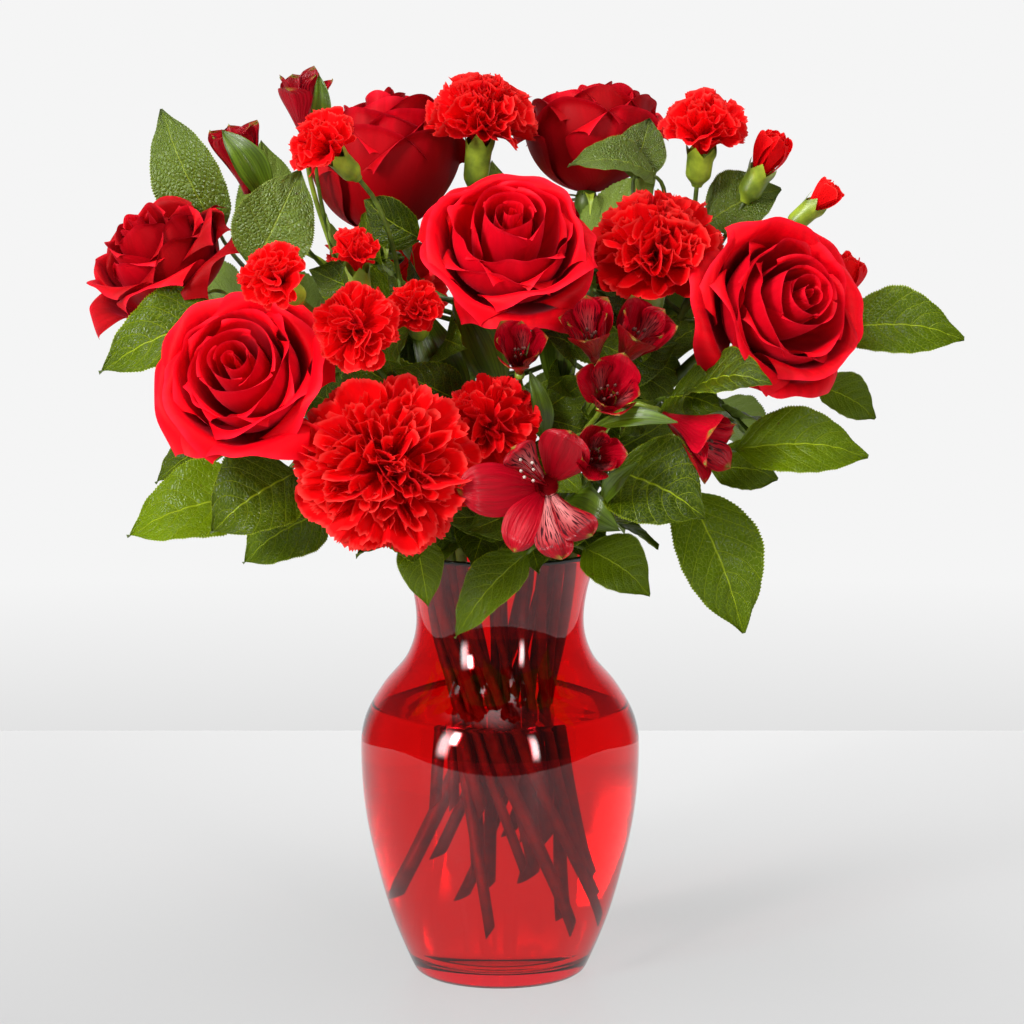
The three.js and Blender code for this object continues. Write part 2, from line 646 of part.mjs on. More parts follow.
// A leafy stem: a stalk along its line, with leaves that start one under another at each joint.
function leafyStem({ line: above, leaves }, place, order, grow = 0) {
  const joints = above.map(vec);
  const direction = joints[0].clone().sub(new THREE.Vector3(0, 0, FAN_Z)).normalize();
  const lower = stemLine(place, order, joints[0], direction, 3, grow);
  const line = [...lower.slice(0, -1), ...joints];
  const radii = line.map((_, i) => (i < lower.length ? 2 : 1.5) + grow);
  const solids = [tube(line, radii, 5)];
  leaves.forEach((leaf, k) => {
    const base = vec(leaf.base);
    const joint = joints.reduce((a, b) => (b.distanceTo(base) < a.distanceTo(base) ? b : a));
    const before = line[line.indexOf(joint) - 1];
    const from = joint.clone().add(before.clone().sub(joint).setLength(2 + 3 * k));
    solids.push(leafFrom(from, leaf, grow));
  });
  return join(solids);
}

// ---------------------------------------------------------------- vase and water
const OUTLINE = new THREE.SplineCurve(VASE.outline.map(([r, z]) => new THREE.Vector2(r, z)));
const OUTLINE_STEPS = 12;

// The wall's inside, a set distance in from the outline, between the floor and the rim.
function insideProfile(distance) {
  const profile = [];
  for (let i = 0; i <= OUTLINE_STEPS; i++) {
    const p = OUTLINE.getPoint(i / OUTLINE_STEPS);
    const along = OUTLINE.getTangent(i / OUTLINE_STEPS);
    const inner = new THREE.Vector2(p.x - distance * along.y, p.y + distance * along.x);
    if (inner.y > VASE.floor + 2 && inner.y < VASE.height - 2) profile.push([inner.x, inner.y]);
  }
  return profile;
}

function vaseSolid() {
  const outer = OUTLINE.getPoints(OUTLINE_STEPS).map((p) => [p.x, p.y]);
  const inner = insideProfile(VASE.wall).reverse();
  const rim = [VASE.outline.at(-1)[0] - VASE.wall, VASE.height];
  const corner = [inner.at(-1)[0] - VASE.corner, VASE.floor];
  return turned([[0, 0], ...outer, rim, ...inner, corner, [0, VASE.floor]], VASE.sides);
}

// The water fills the vase to its level, with a plain hole round each stem.
function waterSolid(stems) {
  const wall = insideProfile(VASE.wall + GAP);
  const wet = wall.filter(([, z]) => z < VASE.waterLevel);
  const [[r0, z0], [r1, z1]] = [wet.at(-1), wall[wet.length]];
  const surface = r0 + ((r1 - r0) * (VASE.waterLevel - z0)) / (z1 - z0);
  const bottom = VASE.floor + GAP;
  const corner = [wet[0][0] - VASE.corner - GAP, bottom];
  const top = [surface, VASE.waterLevel];
  const profile = [[0, bottom], corner, ...wet, top, [0, VASE.waterLevel]];
  return turned(profile, VASE.sides).subtract(join(stems));
}

// ---------------------------------------------------------------- putting it together
const LOOKS = {
  glass: { color: "#b3121c", roughness: 0.05, transparent: true, opacity: 0.45 },
  water: { color: "#e9c9cb", roughness: 0.02, transparent: true, opacity: 0.3 },
  rose: { color: "#b5041a", roughness: 0.6 },
  carnation: { color: "#e0201a", roughness: 0.7 },
  lily: { color: "#9c0d22", roughness: 0.5 },
  leaf: { color: "#3f6a1c", roughness: 0.45 },
  stem: { color: "#5c7a32", roughness: 0.55 },
};

const group = new THREE.Group();
const rooms = []; // the space of each finished piece, which later pieces leave free

function addMesh(name, solid, look) {
  const mesh = new THREE.Mesh(geometryOf(solid), new THREE.MeshStandardMaterial(LOOKS[look]));
  mesh.name = name;
  group.add(mesh);
}

// Cuts a piece clear of the room round those already placed, drops what falls off, and adds it.
function addPiece(name, solid, look, room) {
  const box = solid.boundingBox();
  const meets = (other) => {
    const b = other.boundingBox();
    return [0, 1, 2].every((k) => box.min[k] < b.max[k] && box.max[k] > b.min[k]);
  };
  const near = rooms.filter(meets);
  const clear = near.length ? largestBody(solid.subtract(join(near))) : solid;
  addMesh(name, clear, look);
  rooms.push(room);
}

// The room of a bloom is its convex hull, a little larger all round.
function addBloom(bloom, solid, look) {
  const placed = facingSolid(solid, bloom);
  const grow = 1 + (2 * GAP) / bloom.radius;
  const back = bloom.at.map((x) => -x);
  addPiece(bloom.name, placed, look, placed.hull().translate(back).scale(grow).translate(bloom.at));
}

addMesh("vase", vaseSolid(), "glass");
ROSES.forEach((bloom) => addBloom(bloom, rose(bloom), "rose"));
CARNATIONS.forEach((bloom) => addBloom(bloom, carnation(bloom, FULL_HEAD), "carnation"));
SPRAY_CARNATIONS.forEach((bloom) => addBloom(bloom, carnation(bloom, SMALL_HEAD), "carnation"));
SPRAY_BUDS.forEach((bloom) => addBloom(bloom, carnation(bloom, BUD_HEAD), "carnation"));
ALSTROEMERIAS.forEach((bloom) => addBloom(bloom, alstroemeria(bloom), "lily"));

// Every stem has one place at the waist, in this order.
const single = [...ROSES, ...CARNATIONS];
const targets = [
  ...single.map(footOf),
  ...[...SPRAY_STEMS, ...LILY_STEMS].map((stem) => vec(stem.fork)),
  ...LEAFY_STEMS.map((stem) => vec(stem.line[0])),
];
const places = placesAtWaist(targets);
const stemRooms = [];

// Adds the next stem, made by make(place, order, grow).
function addStem(name, look, make) {
  const order = stemRooms.length;
  const room = make(places[order], order, GAP);
  addPiece(name, make(places[order], order, 0), look, room);
  stemRooms.push(room);
}

for (const bloom of single) {
  const shape = ROSES.includes(bloom)
    ? { stalk: 2.7, cup: 5.5, cupLength: 10, sepals: 3 }
    : { stalk: 2.2, cup: 0.17 * bloom.radius, cupLength: 24, sepals: 0 };
  addStem(bloom.name + "_stem", "stem", (place, order, grow) =>
    bloomStem(bloom, place, order, shape, grow),
  );
}
const branched = [...SPRAY_CARNATIONS, ...SPRAY_BUDS, ...ALSTROEMERIAS];
for (const stem of [...SPRAY_STEMS, ...LILY_STEMS]) {
  const blooms = branched.filter((bloom) => stem.carries.test(bloom.name));
  const shape = LILY_STEMS.includes(stem)
    ? { stalk: 2.3, branch: 1.2, cup: 2.4, cupLength: 6 }
    : { stalk: 1.9, branch: 1.1, cup: 3.6, cupLength: 16 };
  addStem(stem.name, "stem", (place, order, grow) =>
    branchingStem(stem, blooms, place, order, shape, grow),
  );
}
for (const stem of LEAFY_STEMS) {
  addStem(stem.name, "leaf", (place, order, grow) => leafyStem(stem, place, order, grow));
}
addMesh("water", waterSolid(stemRooms), "water");

export default group;
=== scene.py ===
"""Carnations, roses and alstroemeria with salal foliage, standing in a red glass vase of water.

Metres, +Z up. The origin is the middle of the vase's flat foot, the front of the arrangement
faces -Y, and +X is to the viewer's right.
"""

import math
import random
from collections import namedtuple

import bmesh
import bpy
import numpy as np
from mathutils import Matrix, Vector


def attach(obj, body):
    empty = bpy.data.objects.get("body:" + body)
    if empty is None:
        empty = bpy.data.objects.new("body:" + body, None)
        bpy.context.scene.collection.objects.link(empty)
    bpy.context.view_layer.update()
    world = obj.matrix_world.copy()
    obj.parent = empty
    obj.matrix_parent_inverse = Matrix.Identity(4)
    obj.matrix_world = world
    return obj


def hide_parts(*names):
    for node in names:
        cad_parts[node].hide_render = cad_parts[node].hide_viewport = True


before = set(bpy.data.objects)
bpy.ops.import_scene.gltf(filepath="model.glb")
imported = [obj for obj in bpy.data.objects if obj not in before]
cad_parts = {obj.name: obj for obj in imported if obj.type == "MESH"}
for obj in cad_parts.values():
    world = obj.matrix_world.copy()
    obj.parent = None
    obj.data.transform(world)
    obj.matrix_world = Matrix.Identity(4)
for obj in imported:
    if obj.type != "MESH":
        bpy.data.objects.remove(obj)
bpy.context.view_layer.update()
scene = bpy.context.scene

# ---------------------------------------------------------------- camera, table and light
# The camera stands two metres in front of the vase and looks down a little. The vase stands on
# a plain pale table that ends behind it, before a paler background. Two soft boxes light it from
# the left, one from the right, and a broad one from above.
CAMERA_AT = (0.0056, -2.0, 0.545)
CAMERA_DOWN = math.radians(9.27)
CAMERA_LENS = 152.9
TABLE_END = 0.533
TABLE_REFLECTED = 0.55
TABLE_REACH = 4.0
TABLE_BELOW = 0.0002
TABLE_DARK_UP_TO = -0.10
TABLE_LIT_ACROSS = 0.25
TABLE_LIT_FADE = (0.7, 2.4)
TABLE_FRONT = (0.17, 0.17, 0.171, 1)
TABLE_BACK = (0.345, 0.345, 0.345, 1)
TABLE_LIT_LEFT = (0.385, 0.385, 0.385, 1)
TABLE_LIT_RIGHT = (0.455, 0.455, 0.455, 1)
TABLE_LIT_FAR = (0.76, 0.76, 0.76, 1)
BACKDROP_LOW = (0.765, 0.765, 0.765, 1)
BACKDROP_HIGH = (0.913, 0.913, 0.913, 1)
ROOM_BEHIND = (0.80, 0.80, 0.81, 1)
ROOM_IN_FRONT = (0.07, 0.07, 0.07, 1)
CEILING = (0.62, 0.62, 0.62, 1)
# How far up or back a ray points, from -1 to 1, where one part of the room turns into the next.
BACKDROP_STEP = (-0.210, -0.176)
ROOM_STEP = (-0.05, 0.45)
MIRRORED_ROOM_STEP = (0.70, 0.98)
CEILING_STEP = (0.25, 0.75)
SOFT_BOXES = [
    # name, place, width, height, power in watts
    ("left_box", (-1.25, -1.45, 1.15), 0.34, 0.80, 34),
    ("left_strip", (-1.75, -1.55, 0.95), 0.60, 1.9, 26),
    ("right_strip", (1.05, -1.85, 0.80), 0.34, 1.7, 17),
    ("top_box", (-0.30, -0.55, 2.0), 2.4, 2.0, 34),
]
SOFT_BOXES_AIM = (0, 0, 0.25)
SOFT_EDGE = (0.5, 0.1)
SOFT_EDGE_GAIN = 2.4

camera_data = bpy.data.cameras.new("camera")
camera_data.lens = CAMERA_LENS
camera_data.clip_end = 50
camera = bpy.data.objects.new("camera", camera_data)
camera.location = CAMERA_AT
camera.rotation_euler = (math.pi / 2 - CAMERA_DOWN, 0, 0)
scene.collection.objects.link(camera)
scene.camera = camera
scene.view_settings.view_transform = "Standard"


def add_node(tree, kind, settings=None, **inputs):
    """A shader node with its settings and inputs, each a plain value or another node's output."""
    node = tree.nodes.new("ShaderNode" + kind)
    for key, value in (settings or {}).items():
        setattr(node, key, value)
    for key, value in inputs.items():
        socket = node.inputs[int(key[1:]) if key[0] == "_" else key.replace("_", " ")]
        if isinstance(value, bpy.types.NodeSocket):
            tree.links.new(value, socket)
        else:
            socket.default_value = value
    return node


def calc(tree, operation, first, second=0.0):
    """The result of a sum with one or two values."""
    return add_node(tree, "Math", {"operation": operation}, _0=first, _1=second).outputs[0]


def ramp(tree, value, zero_at, one_at, kind="LINEAR"):
    """0 where a value is at zero_at, 1 where it is at one_at, and in between on the way."""
    node = add_node(tree, "MapRange", {"interpolation_type": kind}, _0=value, _1=zero_at, _2=one_at)
    return node.outputs[0]


def blend(tree, share, first, second):
    """The colour that lies between two colours."""
    node = add_node(tree, "Mix", {"data_type": "RGBA"}, _0=share, _6=first, _7=second)
    return node.outputs[2]


def new_material(name):
    """A material with its node tree and its Principled shader."""
    material = bpy.data.materials.new(name)
    material.use_nodes = True
    return material, material.node_tree, material.node_tree.nodes["Principled BSDF"]


table_material, table_tree, table_shader = new_material("pale_table")
table_grain = add_node(table_tree, "TexNoise", Scale=900.0, Detail=2.0)
table_bump = add_node(table_tree, "Bump", Height=table_grain.outputs[0], Strength=0.02)
table_tree.links.new(table_bump.outputs[0], table_shader.inputs["Normal"])
table_at = add_node(table_tree, "TexCoord").outputs["Object"]
table_x, table_y, _ = add_node(table_tree, "SeparateXYZ", _0=table_at).outputs
# Painted shade: the table darkens towards the camera.
table_share = ramp(table_tree, table_y, TABLE_DARK_UP_TO, TABLE_END)
table_tone = blend(table_tree, table_share, TABLE_FRONT, TABLE_BACK)
table_tree.links.new(table_tone, table_shader.inputs["Base Color"])
# Painted light: the table glows, more on the right and far off, which keeps the bouquet's shadow faint.
lit_share = ramp(table_tree, table_x, -TABLE_LIT_ACROSS, TABLE_LIT_ACROSS)
table_lit = blend(table_tree, lit_share, TABLE_LIT_LEFT, TABLE_LIT_RIGHT)
far_off = add_node(table_tree, "VectorMath", {"operation": "LENGTH"}, _0=table_at).outputs["Value"]
far_share = ramp(table_tree, far_off, *TABLE_LIT_FADE)
table_lit = blend(table_tree, far_share, table_lit, TABLE_LIT_FAR)
table_tree.links.new(table_lit, table_shader.inputs["Emission Color"])
table_shader.inputs["Emission Strength"].default_value = 1.0
table_shader.inputs["Roughness"].default_value = 0.55
table_shader.inputs["Specular IOR Level"].default_value = 0.25

# The glass mirrors only the near part of the table, so its shoulder stays deep red.
for name, near, far in [
    ("table", -TABLE_REFLECTED, TABLE_END),
    ("table_front", -TABLE_REACH, -TABLE_REFLECTED),
]:
    corners = [(x, y, 0) for y in (near, far) for x in (-TABLE_REACH, TABLE_REACH)]
    table_mesh = bpy.data.meshes.new(name)
    table_mesh.from_pydata(corners, [], [(0, 1, 3, 2)])
    table_mesh.materials.append(table_material)
    table = bpy.data.objects.new(name, table_mesh)
    table.location.z = -TABLE_BELOW
    table.visible_glossy = name == "table"
    scene.collection.objects.link(table)

# What the camera sees behind the table is a pale sweep. The room on the camera's side is darker,
# so that the glass shows the soft boxes and the table, and in what the glass mirrors the dark
# reaches further back. The pale ceiling lights the flowers evenly.
world = bpy.data.worlds.new("studio")
world.use_nodes = True
scene.world = world
sky = world.node_tree
way = add_node(sky, "TexCoord").outputs["Generated"]
part_of = add_node(sky, "SeparateXYZ", _0=way).outputs
seen = blend(sky, ramp(sky, part_of[2], *BACKDROP_STEP), BACKDROP_LOW, BACKDROP_HIGH)
ray = add_node(sky, "LightPath").outputs
mirrored = calc(sky, "MAXIMUM", ray["Is Glossy Ray"], ray["Is Transmission Ray"])
reflected = calc(sky, "MULTIPLY", ray["Is Glossy Ray"], ray["Is Reflection Ray"])
room_step = [
    calc(sky, "ADD", calc(sky, "MULTIPLY", reflected, there - here), here)
    for here, there in zip(ROOM_STEP, MIRRORED_ROOM_STEP)
]
felt = blend(sky, ramp(sky, part_of[1], *room_step), ROOM_IN_FRONT, ROOM_BEHIND)
overhead = ramp(sky, part_of[2], *CEILING_STEP)
overhead = calc(sky, "MULTIPLY", overhead, calc(sky, "SUBTRACT", 1.0, mirrored))
felt = blend(sky, overhead, felt, CEILING)
sky.links.new(blend(sky, ray["Is Camera Ray"], felt, seen), sky.nodes["Background"].inputs["Color"])

for name, place, width, tall, power in SOFT_BOXES:
    lamp = bpy.data.lights.new(name, "AREA")
    lamp.shape = "RECTANGLE"
    lamp.size, lamp.size_y = width, tall
    lamp.energy = power
    lamp.use_nodes = True
    cloth = lamp.node_tree
    on_cloth = add_node(cloth, "NewGeometry").outputs["Parametric"]
    off_middle = add_node(cloth, "VectorMath", {"operation": "SUBTRACT"}, _0=on_cloth, _1=(0.5, 0.5, 0))
    across, along, _ = add_node(cloth, "SeparateXYZ", _0=off_middle.outputs[0]).outputs
    glow = SOFT_EDGE_GAIN
    for axis in (across, along):
        from_edge = ramp(cloth, calc(cloth, "ABSOLUTE", axis), *SOFT_EDGE, "SMOOTHSTEP")
        glow = calc(cloth, "MULTIPLY", from_edge, glow)
    cloth.links.new(glow, cloth.nodes["Emission"].inputs["Strength"])
    box = bpy.data.objects.new(name, lamp)
    box.location = place
    box.rotation_euler = (Vector(SOFT_BOXES_AIM) - Vector(place)).to_track_quat("-Z", "Y").to_euler()
    box.visible_camera = False
    scene.collection.objects.link(box)

# ---------------------------------------------------------------- the vase
# One piece of clear red glass, blown in a mould: a wide shoulder, a narrow neck and a flared rim
# with a fire-polished edge. The bottom is thick and stands on a flat foot.
VASE_HEIGHT = 0.203
VASE_WALL = 0.003
VASE_FLOOR = 0.008
VASE_CORNER = 0.003
VASE_SIDES = 144
VASE_OUTLINE = [
    # outside radius, height
    (0.0380, 0.0000),
    (0.0420, 0.0050),
    (0.0530, 0.0330),
    (0.0625, 0.0720),
    (0.0653, 0.1040),
    (0.0634, 0.1210),
    (0.0550, 0.1365),
    (0.0435, 0.1510),
    (0.0392, 0.1670),
    (0.0420, 0.1870),
    (0.0495, 0.2030),
]
VASE_UNDERSIDE = [(0.0, 0.0012), (0.024, 0.0010), (0.031, 0.0)]
OUTLINE_STEPS = 12
ABOVE_FLOOR, BELOW_RIM = 0.002, 0.001
LIP_ROUND = 0.35
GLASS_RED = (0.875, 0.008, 0.020, 1)
GLASS_SHADOW = (0.96, 0.93, 0.93, 1)
GLASS_IOR = 1.5
WELD = 1e-7
PLAIN = 0.5  # the tone of a sheet whose material has no use for it


def spline(points, steps):
    """A smooth line through points, with so many steps between each two."""
    p = np.array([points[0], *points, points[-1]], float)
    p[0] = 2 * p[1] - p[2]
    p[-1] = 2 * p[-2] - p[-3]
    t = np.linspace(0, 1, steps, endpoint=False)[:, None]
    spans = []
    for a, b, c, d in zip(p, p[1:], p[2:], p[3:]):
        cubic = (-a + 3 * b - 3 * c + d) * t**3
        spans.append((cubic + (2 * a - 5 * b + 4 * c - d) * t**2 + (c - a) * t + 2 * b) / 2)
    return np.vstack([*spans, p[-2:-1]])


def sheet(place, across, along):
    """A sheet of faces. place(u, v) gives its x, y and z for u from -1 to 1 and v from 0 to 1."""
    u, v = np.meshgrid(np.linspace(-1, 1, across + 1), np.linspace(0, 1, along + 1))
    points = np.stack(np.broadcast_arrays(*place(u, v)), -1).reshape(-1, 3)
    n = np.arange(len(points)).reshape(along + 1, across + 1)
    faces = np.stack([n[:-1, :-1], n[:-1, 1:], n[1:, 1:], n[1:, :-1]], -1).reshape(-1, 4)
    return points, faces, np.stack([u, v], -1).reshape(-1, 2)


def turned(profile, sides):
    """A body turned about +Z from a profile of (radius, height)."""
    line = np.array(profile)

    def place(u, v):
        radius = np.interp(v, np.linspace(0, 1, len(line)), line[:, 0])
        up = np.interp(v, np.linspace(0, 1, len(line)), line[:, 1])
        return radius * np.cos(math.pi * u), radius * np.sin(math.pi * u), up

    return sheet(place, sides, len(line) - 1)


def add_piece(name, sheets, materials, nodes, weld=0.0):
    """Joins sheets, each (points, faces, uv, material's place in the list, tone), into a piece."""
    starts = np.cumsum([0] + [len(s[0]) for s in sheets])
    points = np.vstack([s[0] for s in sheets])
    faces = np.vstack([s[1] + start for s, start in zip(sheets, starts)])
    uv = np.vstack([s[2] for s in sheets])
    mesh = bpy.data.meshes.new(name)
    mesh.from_pydata(points.tolist(), [], faces.tolist())
    for material in materials:
        mesh.materials.append(material)
    looks = np.concatenate([np.full(len(s[1]), s[3]) for s in sheets])
    mesh.polygons.foreach_set("material_index", looks.astype(np.int32))
    mesh.polygons.foreach_set("use_smooth", np.ones(len(faces), bool))
    layer = mesh.uv_layers.new(name="uv")
    layer.data.foreach_set("uv", uv[faces.ravel()].astype(np.float32).ravel())
    tone = mesh.attributes.new("tone", "FLOAT", "POINT")
    tones = np.concatenate([np.full(len(s[0]), s[4]) for s in sheets])
    tone.data.foreach_set("value", tones.astype(np.float32))
    if weld:
        edit = bmesh.new()
        edit.from_mesh(mesh)
        bmesh.ops.remove_doubles(edit, verts=edit.verts, dist=weld)
        edit.to_mesh(mesh)
        edit.free()
    piece = bpy.data.objects.new(name, mesh)
    scene.collection.objects.link(piece)
    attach(piece, "root")
    if nodes:
        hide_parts(*nodes)
    return piece


def mix_shaders(tree, share, first, second):
    """Shows the first shader of a material, with a share of the second."""
    mixed = add_node(tree, "MixShader", _0=share, _1=first.outputs[0], _2=second.outputs[0])
    tree.links.new(mixed.outputs[0], tree.nodes["Material Output"].inputs["Surface"])


def clear_material(name, tint, shadow, ior):
    """A clear material. A light shines through it with the tint of its shadow."""
    material, tree, shader = new_material(name)
    shader.inputs["Base Color"].default_value = tint
    shader.inputs["Roughness"].default_value = 0.0
    shader.inputs["IOR"].default_value = ior
    shader.inputs["Transmission Weight"].default_value = 1.0
    through = add_node(tree, "BsdfTransparent", Color=shadow)
    ray = add_node(tree, "LightPath").outputs
    in_shadow = calc(tree, "MAXIMUM", ray["Is Shadow Ray"], ray["Is Diffuse Ray"])
    mix_shaders(tree, in_shadow, shader, through)
    return material


def inside_wall(distance):
    """The vase's outline moved inwards, from just above the floor to just below the rim."""
    outline = spline(VASE_OUTLINE, OUTLINE_STEPS)
    along = np.gradient(outline, axis=0)
    along /= np.linalg.norm(along, axis=1)[:, None]
    inner = outline + distance * np.stack([-along[:, 1], along[:, 0]], -1)
    up = inner[:, 1]
    return inner[(up > VASE_FLOOR + ABOVE_FLOOR) & (up < VASE_HEIGHT - BELOW_RIM)]


glass = clear_material("red_glass", GLASS_RED, GLASS_SHADOW, GLASS_IOR)
vase_inner = inside_wall(VASE_WALL)
vase_rim = VASE_OUTLINE[-1][0] - VASE_WALL / 2
rim_turn = np.linspace(0, math.pi, 9)[1:-1]
lip_radii = vase_rim + VASE_WALL / 2 * np.cos(rim_turn)
lip_heights = VASE_HEIGHT + VASE_WALL * (LIP_ROUND * np.sin(rim_turn) - LIP_ROUND)
lip = zip(lip_radii, lip_heights)
floor_corner = [
    (vase_inner[0][0] - VASE_CORNER * 0.3, VASE_FLOOR + VASE_CORNER * 0.35),
    (vase_inner[0][0] - VASE_CORNER, VASE_FLOOR),
    (0.0, VASE_FLOOR - 0.0008),
]
vase_outer = spline(VASE_OUTLINE, OUTLINE_STEPS)[:-1]
vase_profile = [*VASE_UNDERSIDE, *vase_outer, *lip, *vase_inner[::-1], *floor_corner]
vase_body = turned(vase_profile, VASE_SIDES)
add_piece("vase_glass", [(*vase_body, 0, PLAIN)], [glass], ["vase"], weld=WELD)

# ---------------------------------------------------------------- the water
# Clear water up to just under the shoulder. It wets the glass, so it reaches a hair into the
# wall, and climbs it by a millimetre at the surface.
WATER_LEVEL = 0.127
WATER_INTO_GLASS = 0.0002
WATER_CLIMB = 0.0009
WATER_TINT = (0.98, 0.95, 0.95, 1)
WATER_SHADOW = (1.0, 0.97, 0.97, 1)
WATER_IOR = 1.33

water_clear = clear_material("water", WATER_TINT, WATER_SHADOW, WATER_IOR)
wet = inside_wall(VASE_WALL - WATER_INTO_GLASS)
wet = wet[wet[:, 1] < WATER_LEVEL]
edge = wet[-1][0]
surface = [
    (edge, WATER_LEVEL + WATER_CLIMB),
    (edge - 0.0008, WATER_LEVEL + WATER_CLIMB * 0.5),
    (edge - 0.0025, WATER_LEVEL),
    (0, WATER_LEVEL),
]
water_floor = [(0, VASE_FLOOR - 0.0010), (wet[0][0] - VASE_CORNER, VASE_FLOOR - 0.0002)]
water_profile = [*water_floor, *wet, *surface]
water_body = turned(water_profile, VASE_SIDES)
add_piece("water_body", [(*water_body, 0, PLAIN)], [water_clear], ["water"], weld=WELD)

# ---------------------------------------------------------------- the roses
# Red cut roses, each a spiral of velvety petals. The heart is wound tight and stands up,
# and the outer petals open round it with lips that roll back to a point.

# at: the bloom's middle; facing: the way it looks; depth: from its foot to its top; turn: round
# its own axis, in radians; shade: how much darker its petals are, below zero how much lighter.
# It is partly a deeper or paler red of their own and partly painted shade and painted light that
# set how brightly each bloom looks lit.
Bloom = namedtuple("Bloom", "name at facing radius depth turn shade", defaults=[0.0])
Rose = namedtuple("Rose", "bloom heart gap spread stand dip point", defaults=[(0.0, 0.0), 0.52])
ROSES = [
    # heart: the wound middle's share of the radius; gap: the step out to the open petals;
    # spread: how far the outer petals lie open; stand: how far the heart stands above them;
    # dip: how far their rims sink to one side, and that side's direction in degrees;
    # point: how much the petals narrow towards their tips
    Rose(
        Bloom("rose_front", (-0.112, -0.095, 0.294), (-0.24, -0.82, 0.52), 0.039, 0.048, 0.4, -0.3),
        heart=0.46, gap=0.06, spread=0.55, stand=0.05,
    ),
    Rose(
        Bloom("rose_centre", (0.004, -0.065, 0.351), (0.08, -0.70, 0.71), 0.040, 0.048, 2.2, -0.1),
        heart=0.40, gap=0.16, spread=0.8, stand=0.16,
    ),
    Rose(
        Bloom("rose_right", (0.127, -0.054, 0.321), (0.50, -0.78, 0.37), 0.042, 0.048, 1.1),
        heart=0.40, gap=0.12, spread=0.8, stand=0.09,
    ),
    Rose(
        Bloom("rose_left", (-0.156, -0.014, 0.338), (-0.52, -0.26, 0.82), 0.038, 0.048, 3.0, 0.9),
        heart=0.40, gap=0.12, spread=1.0, stand=0.08, point=0.80,
    ),
    Rose(
        Bloom("rose_top_left", (-0.056, 0.038, 0.379), (0.05, 0.12, 0.99), 0.036, 0.070, 2.97, 1.0),
        heart=0.50, gap=0.08, spread=0.20, stand=0.0, dip=(0.07, -165), point=0.40,
    ),
    Rose(
        Bloom("rose_top_right", (0.042, 0.052, 0.389), (0.05, 0.30, 0.95), 0.033, 0.054, 2.75, 0.9),
        heart=0.50, gap=0.08, spread=0.28, stand=0.0, dip=(0.06, -170), point=0.62,
    ),
    Rose(
        Bloom("rose_back", (0.052, 0.112, 0.322), (0.30, 0.85, 0.45), 0.037, 0.046, 1.7, 0.3),
        heart=0.40, gap=0.12, spread=0.7, stand=0.08,
    ),
]
ROSE_HEART_PETALS = 9
ROSE_CUP_PETALS = 6
ROSE_OUTER_PETALS = 8
ROSE_PETAL_GRID = (24, 28)
PHASES = 6.28  # a wave along a petal starts anywhere in a turn
GOLDEN_ANGLE = math.radians(137.5)
# The deep red is painted shade towards the petals' roots, and the lip colour a painted highlight.
ROSE_RED = (0.80, 0.000, 0.007, 1)
ROSE_DEEP = (0.26, 0.000, 0.001, 1)
ROSE_BACK = (0.62, 0.001, 0.012, 1)
ROSE_LIP_HIGHLIGHT = (0.92, 0.012, 0.035, 1)
PETAL_BLOOM = (1.0, 0.045, 0.09, 1)


def bezier(a, b, c, d, t):
    """A place on a cubic curve with four control values."""
    s = 1 - t
    return a * s**3 + 3 * b * s * s * t + 3 * c * s * t * t + d * t**3


def step_between(low, high, x):
    """0 up to low, 1 from high on, and smooth between them."""
    t = np.clip((x - low) / (high - low), 0, 1)
    return t * t * (3 - 2 * t)


def facing_of(bloom):
    """The way a bloom looks, one unit long."""
    return Vector(bloom.facing).normalized()


def foot_of(bloom):
    """Where a bloom's petals start, on its axis."""
    return Vector(bloom.at) - facing_of(bloom) * bloom.depth / 2


def set_on(bloom, points):
    """Moves points made round +Z, with the foot at the origin, to where the bloom is."""
    turn = Vector((0, 0, 1)).rotation_difference(Vector(bloom.facing)).to_matrix()
    return points @ np.array(turn).T + np.array(foot_of(bloom))


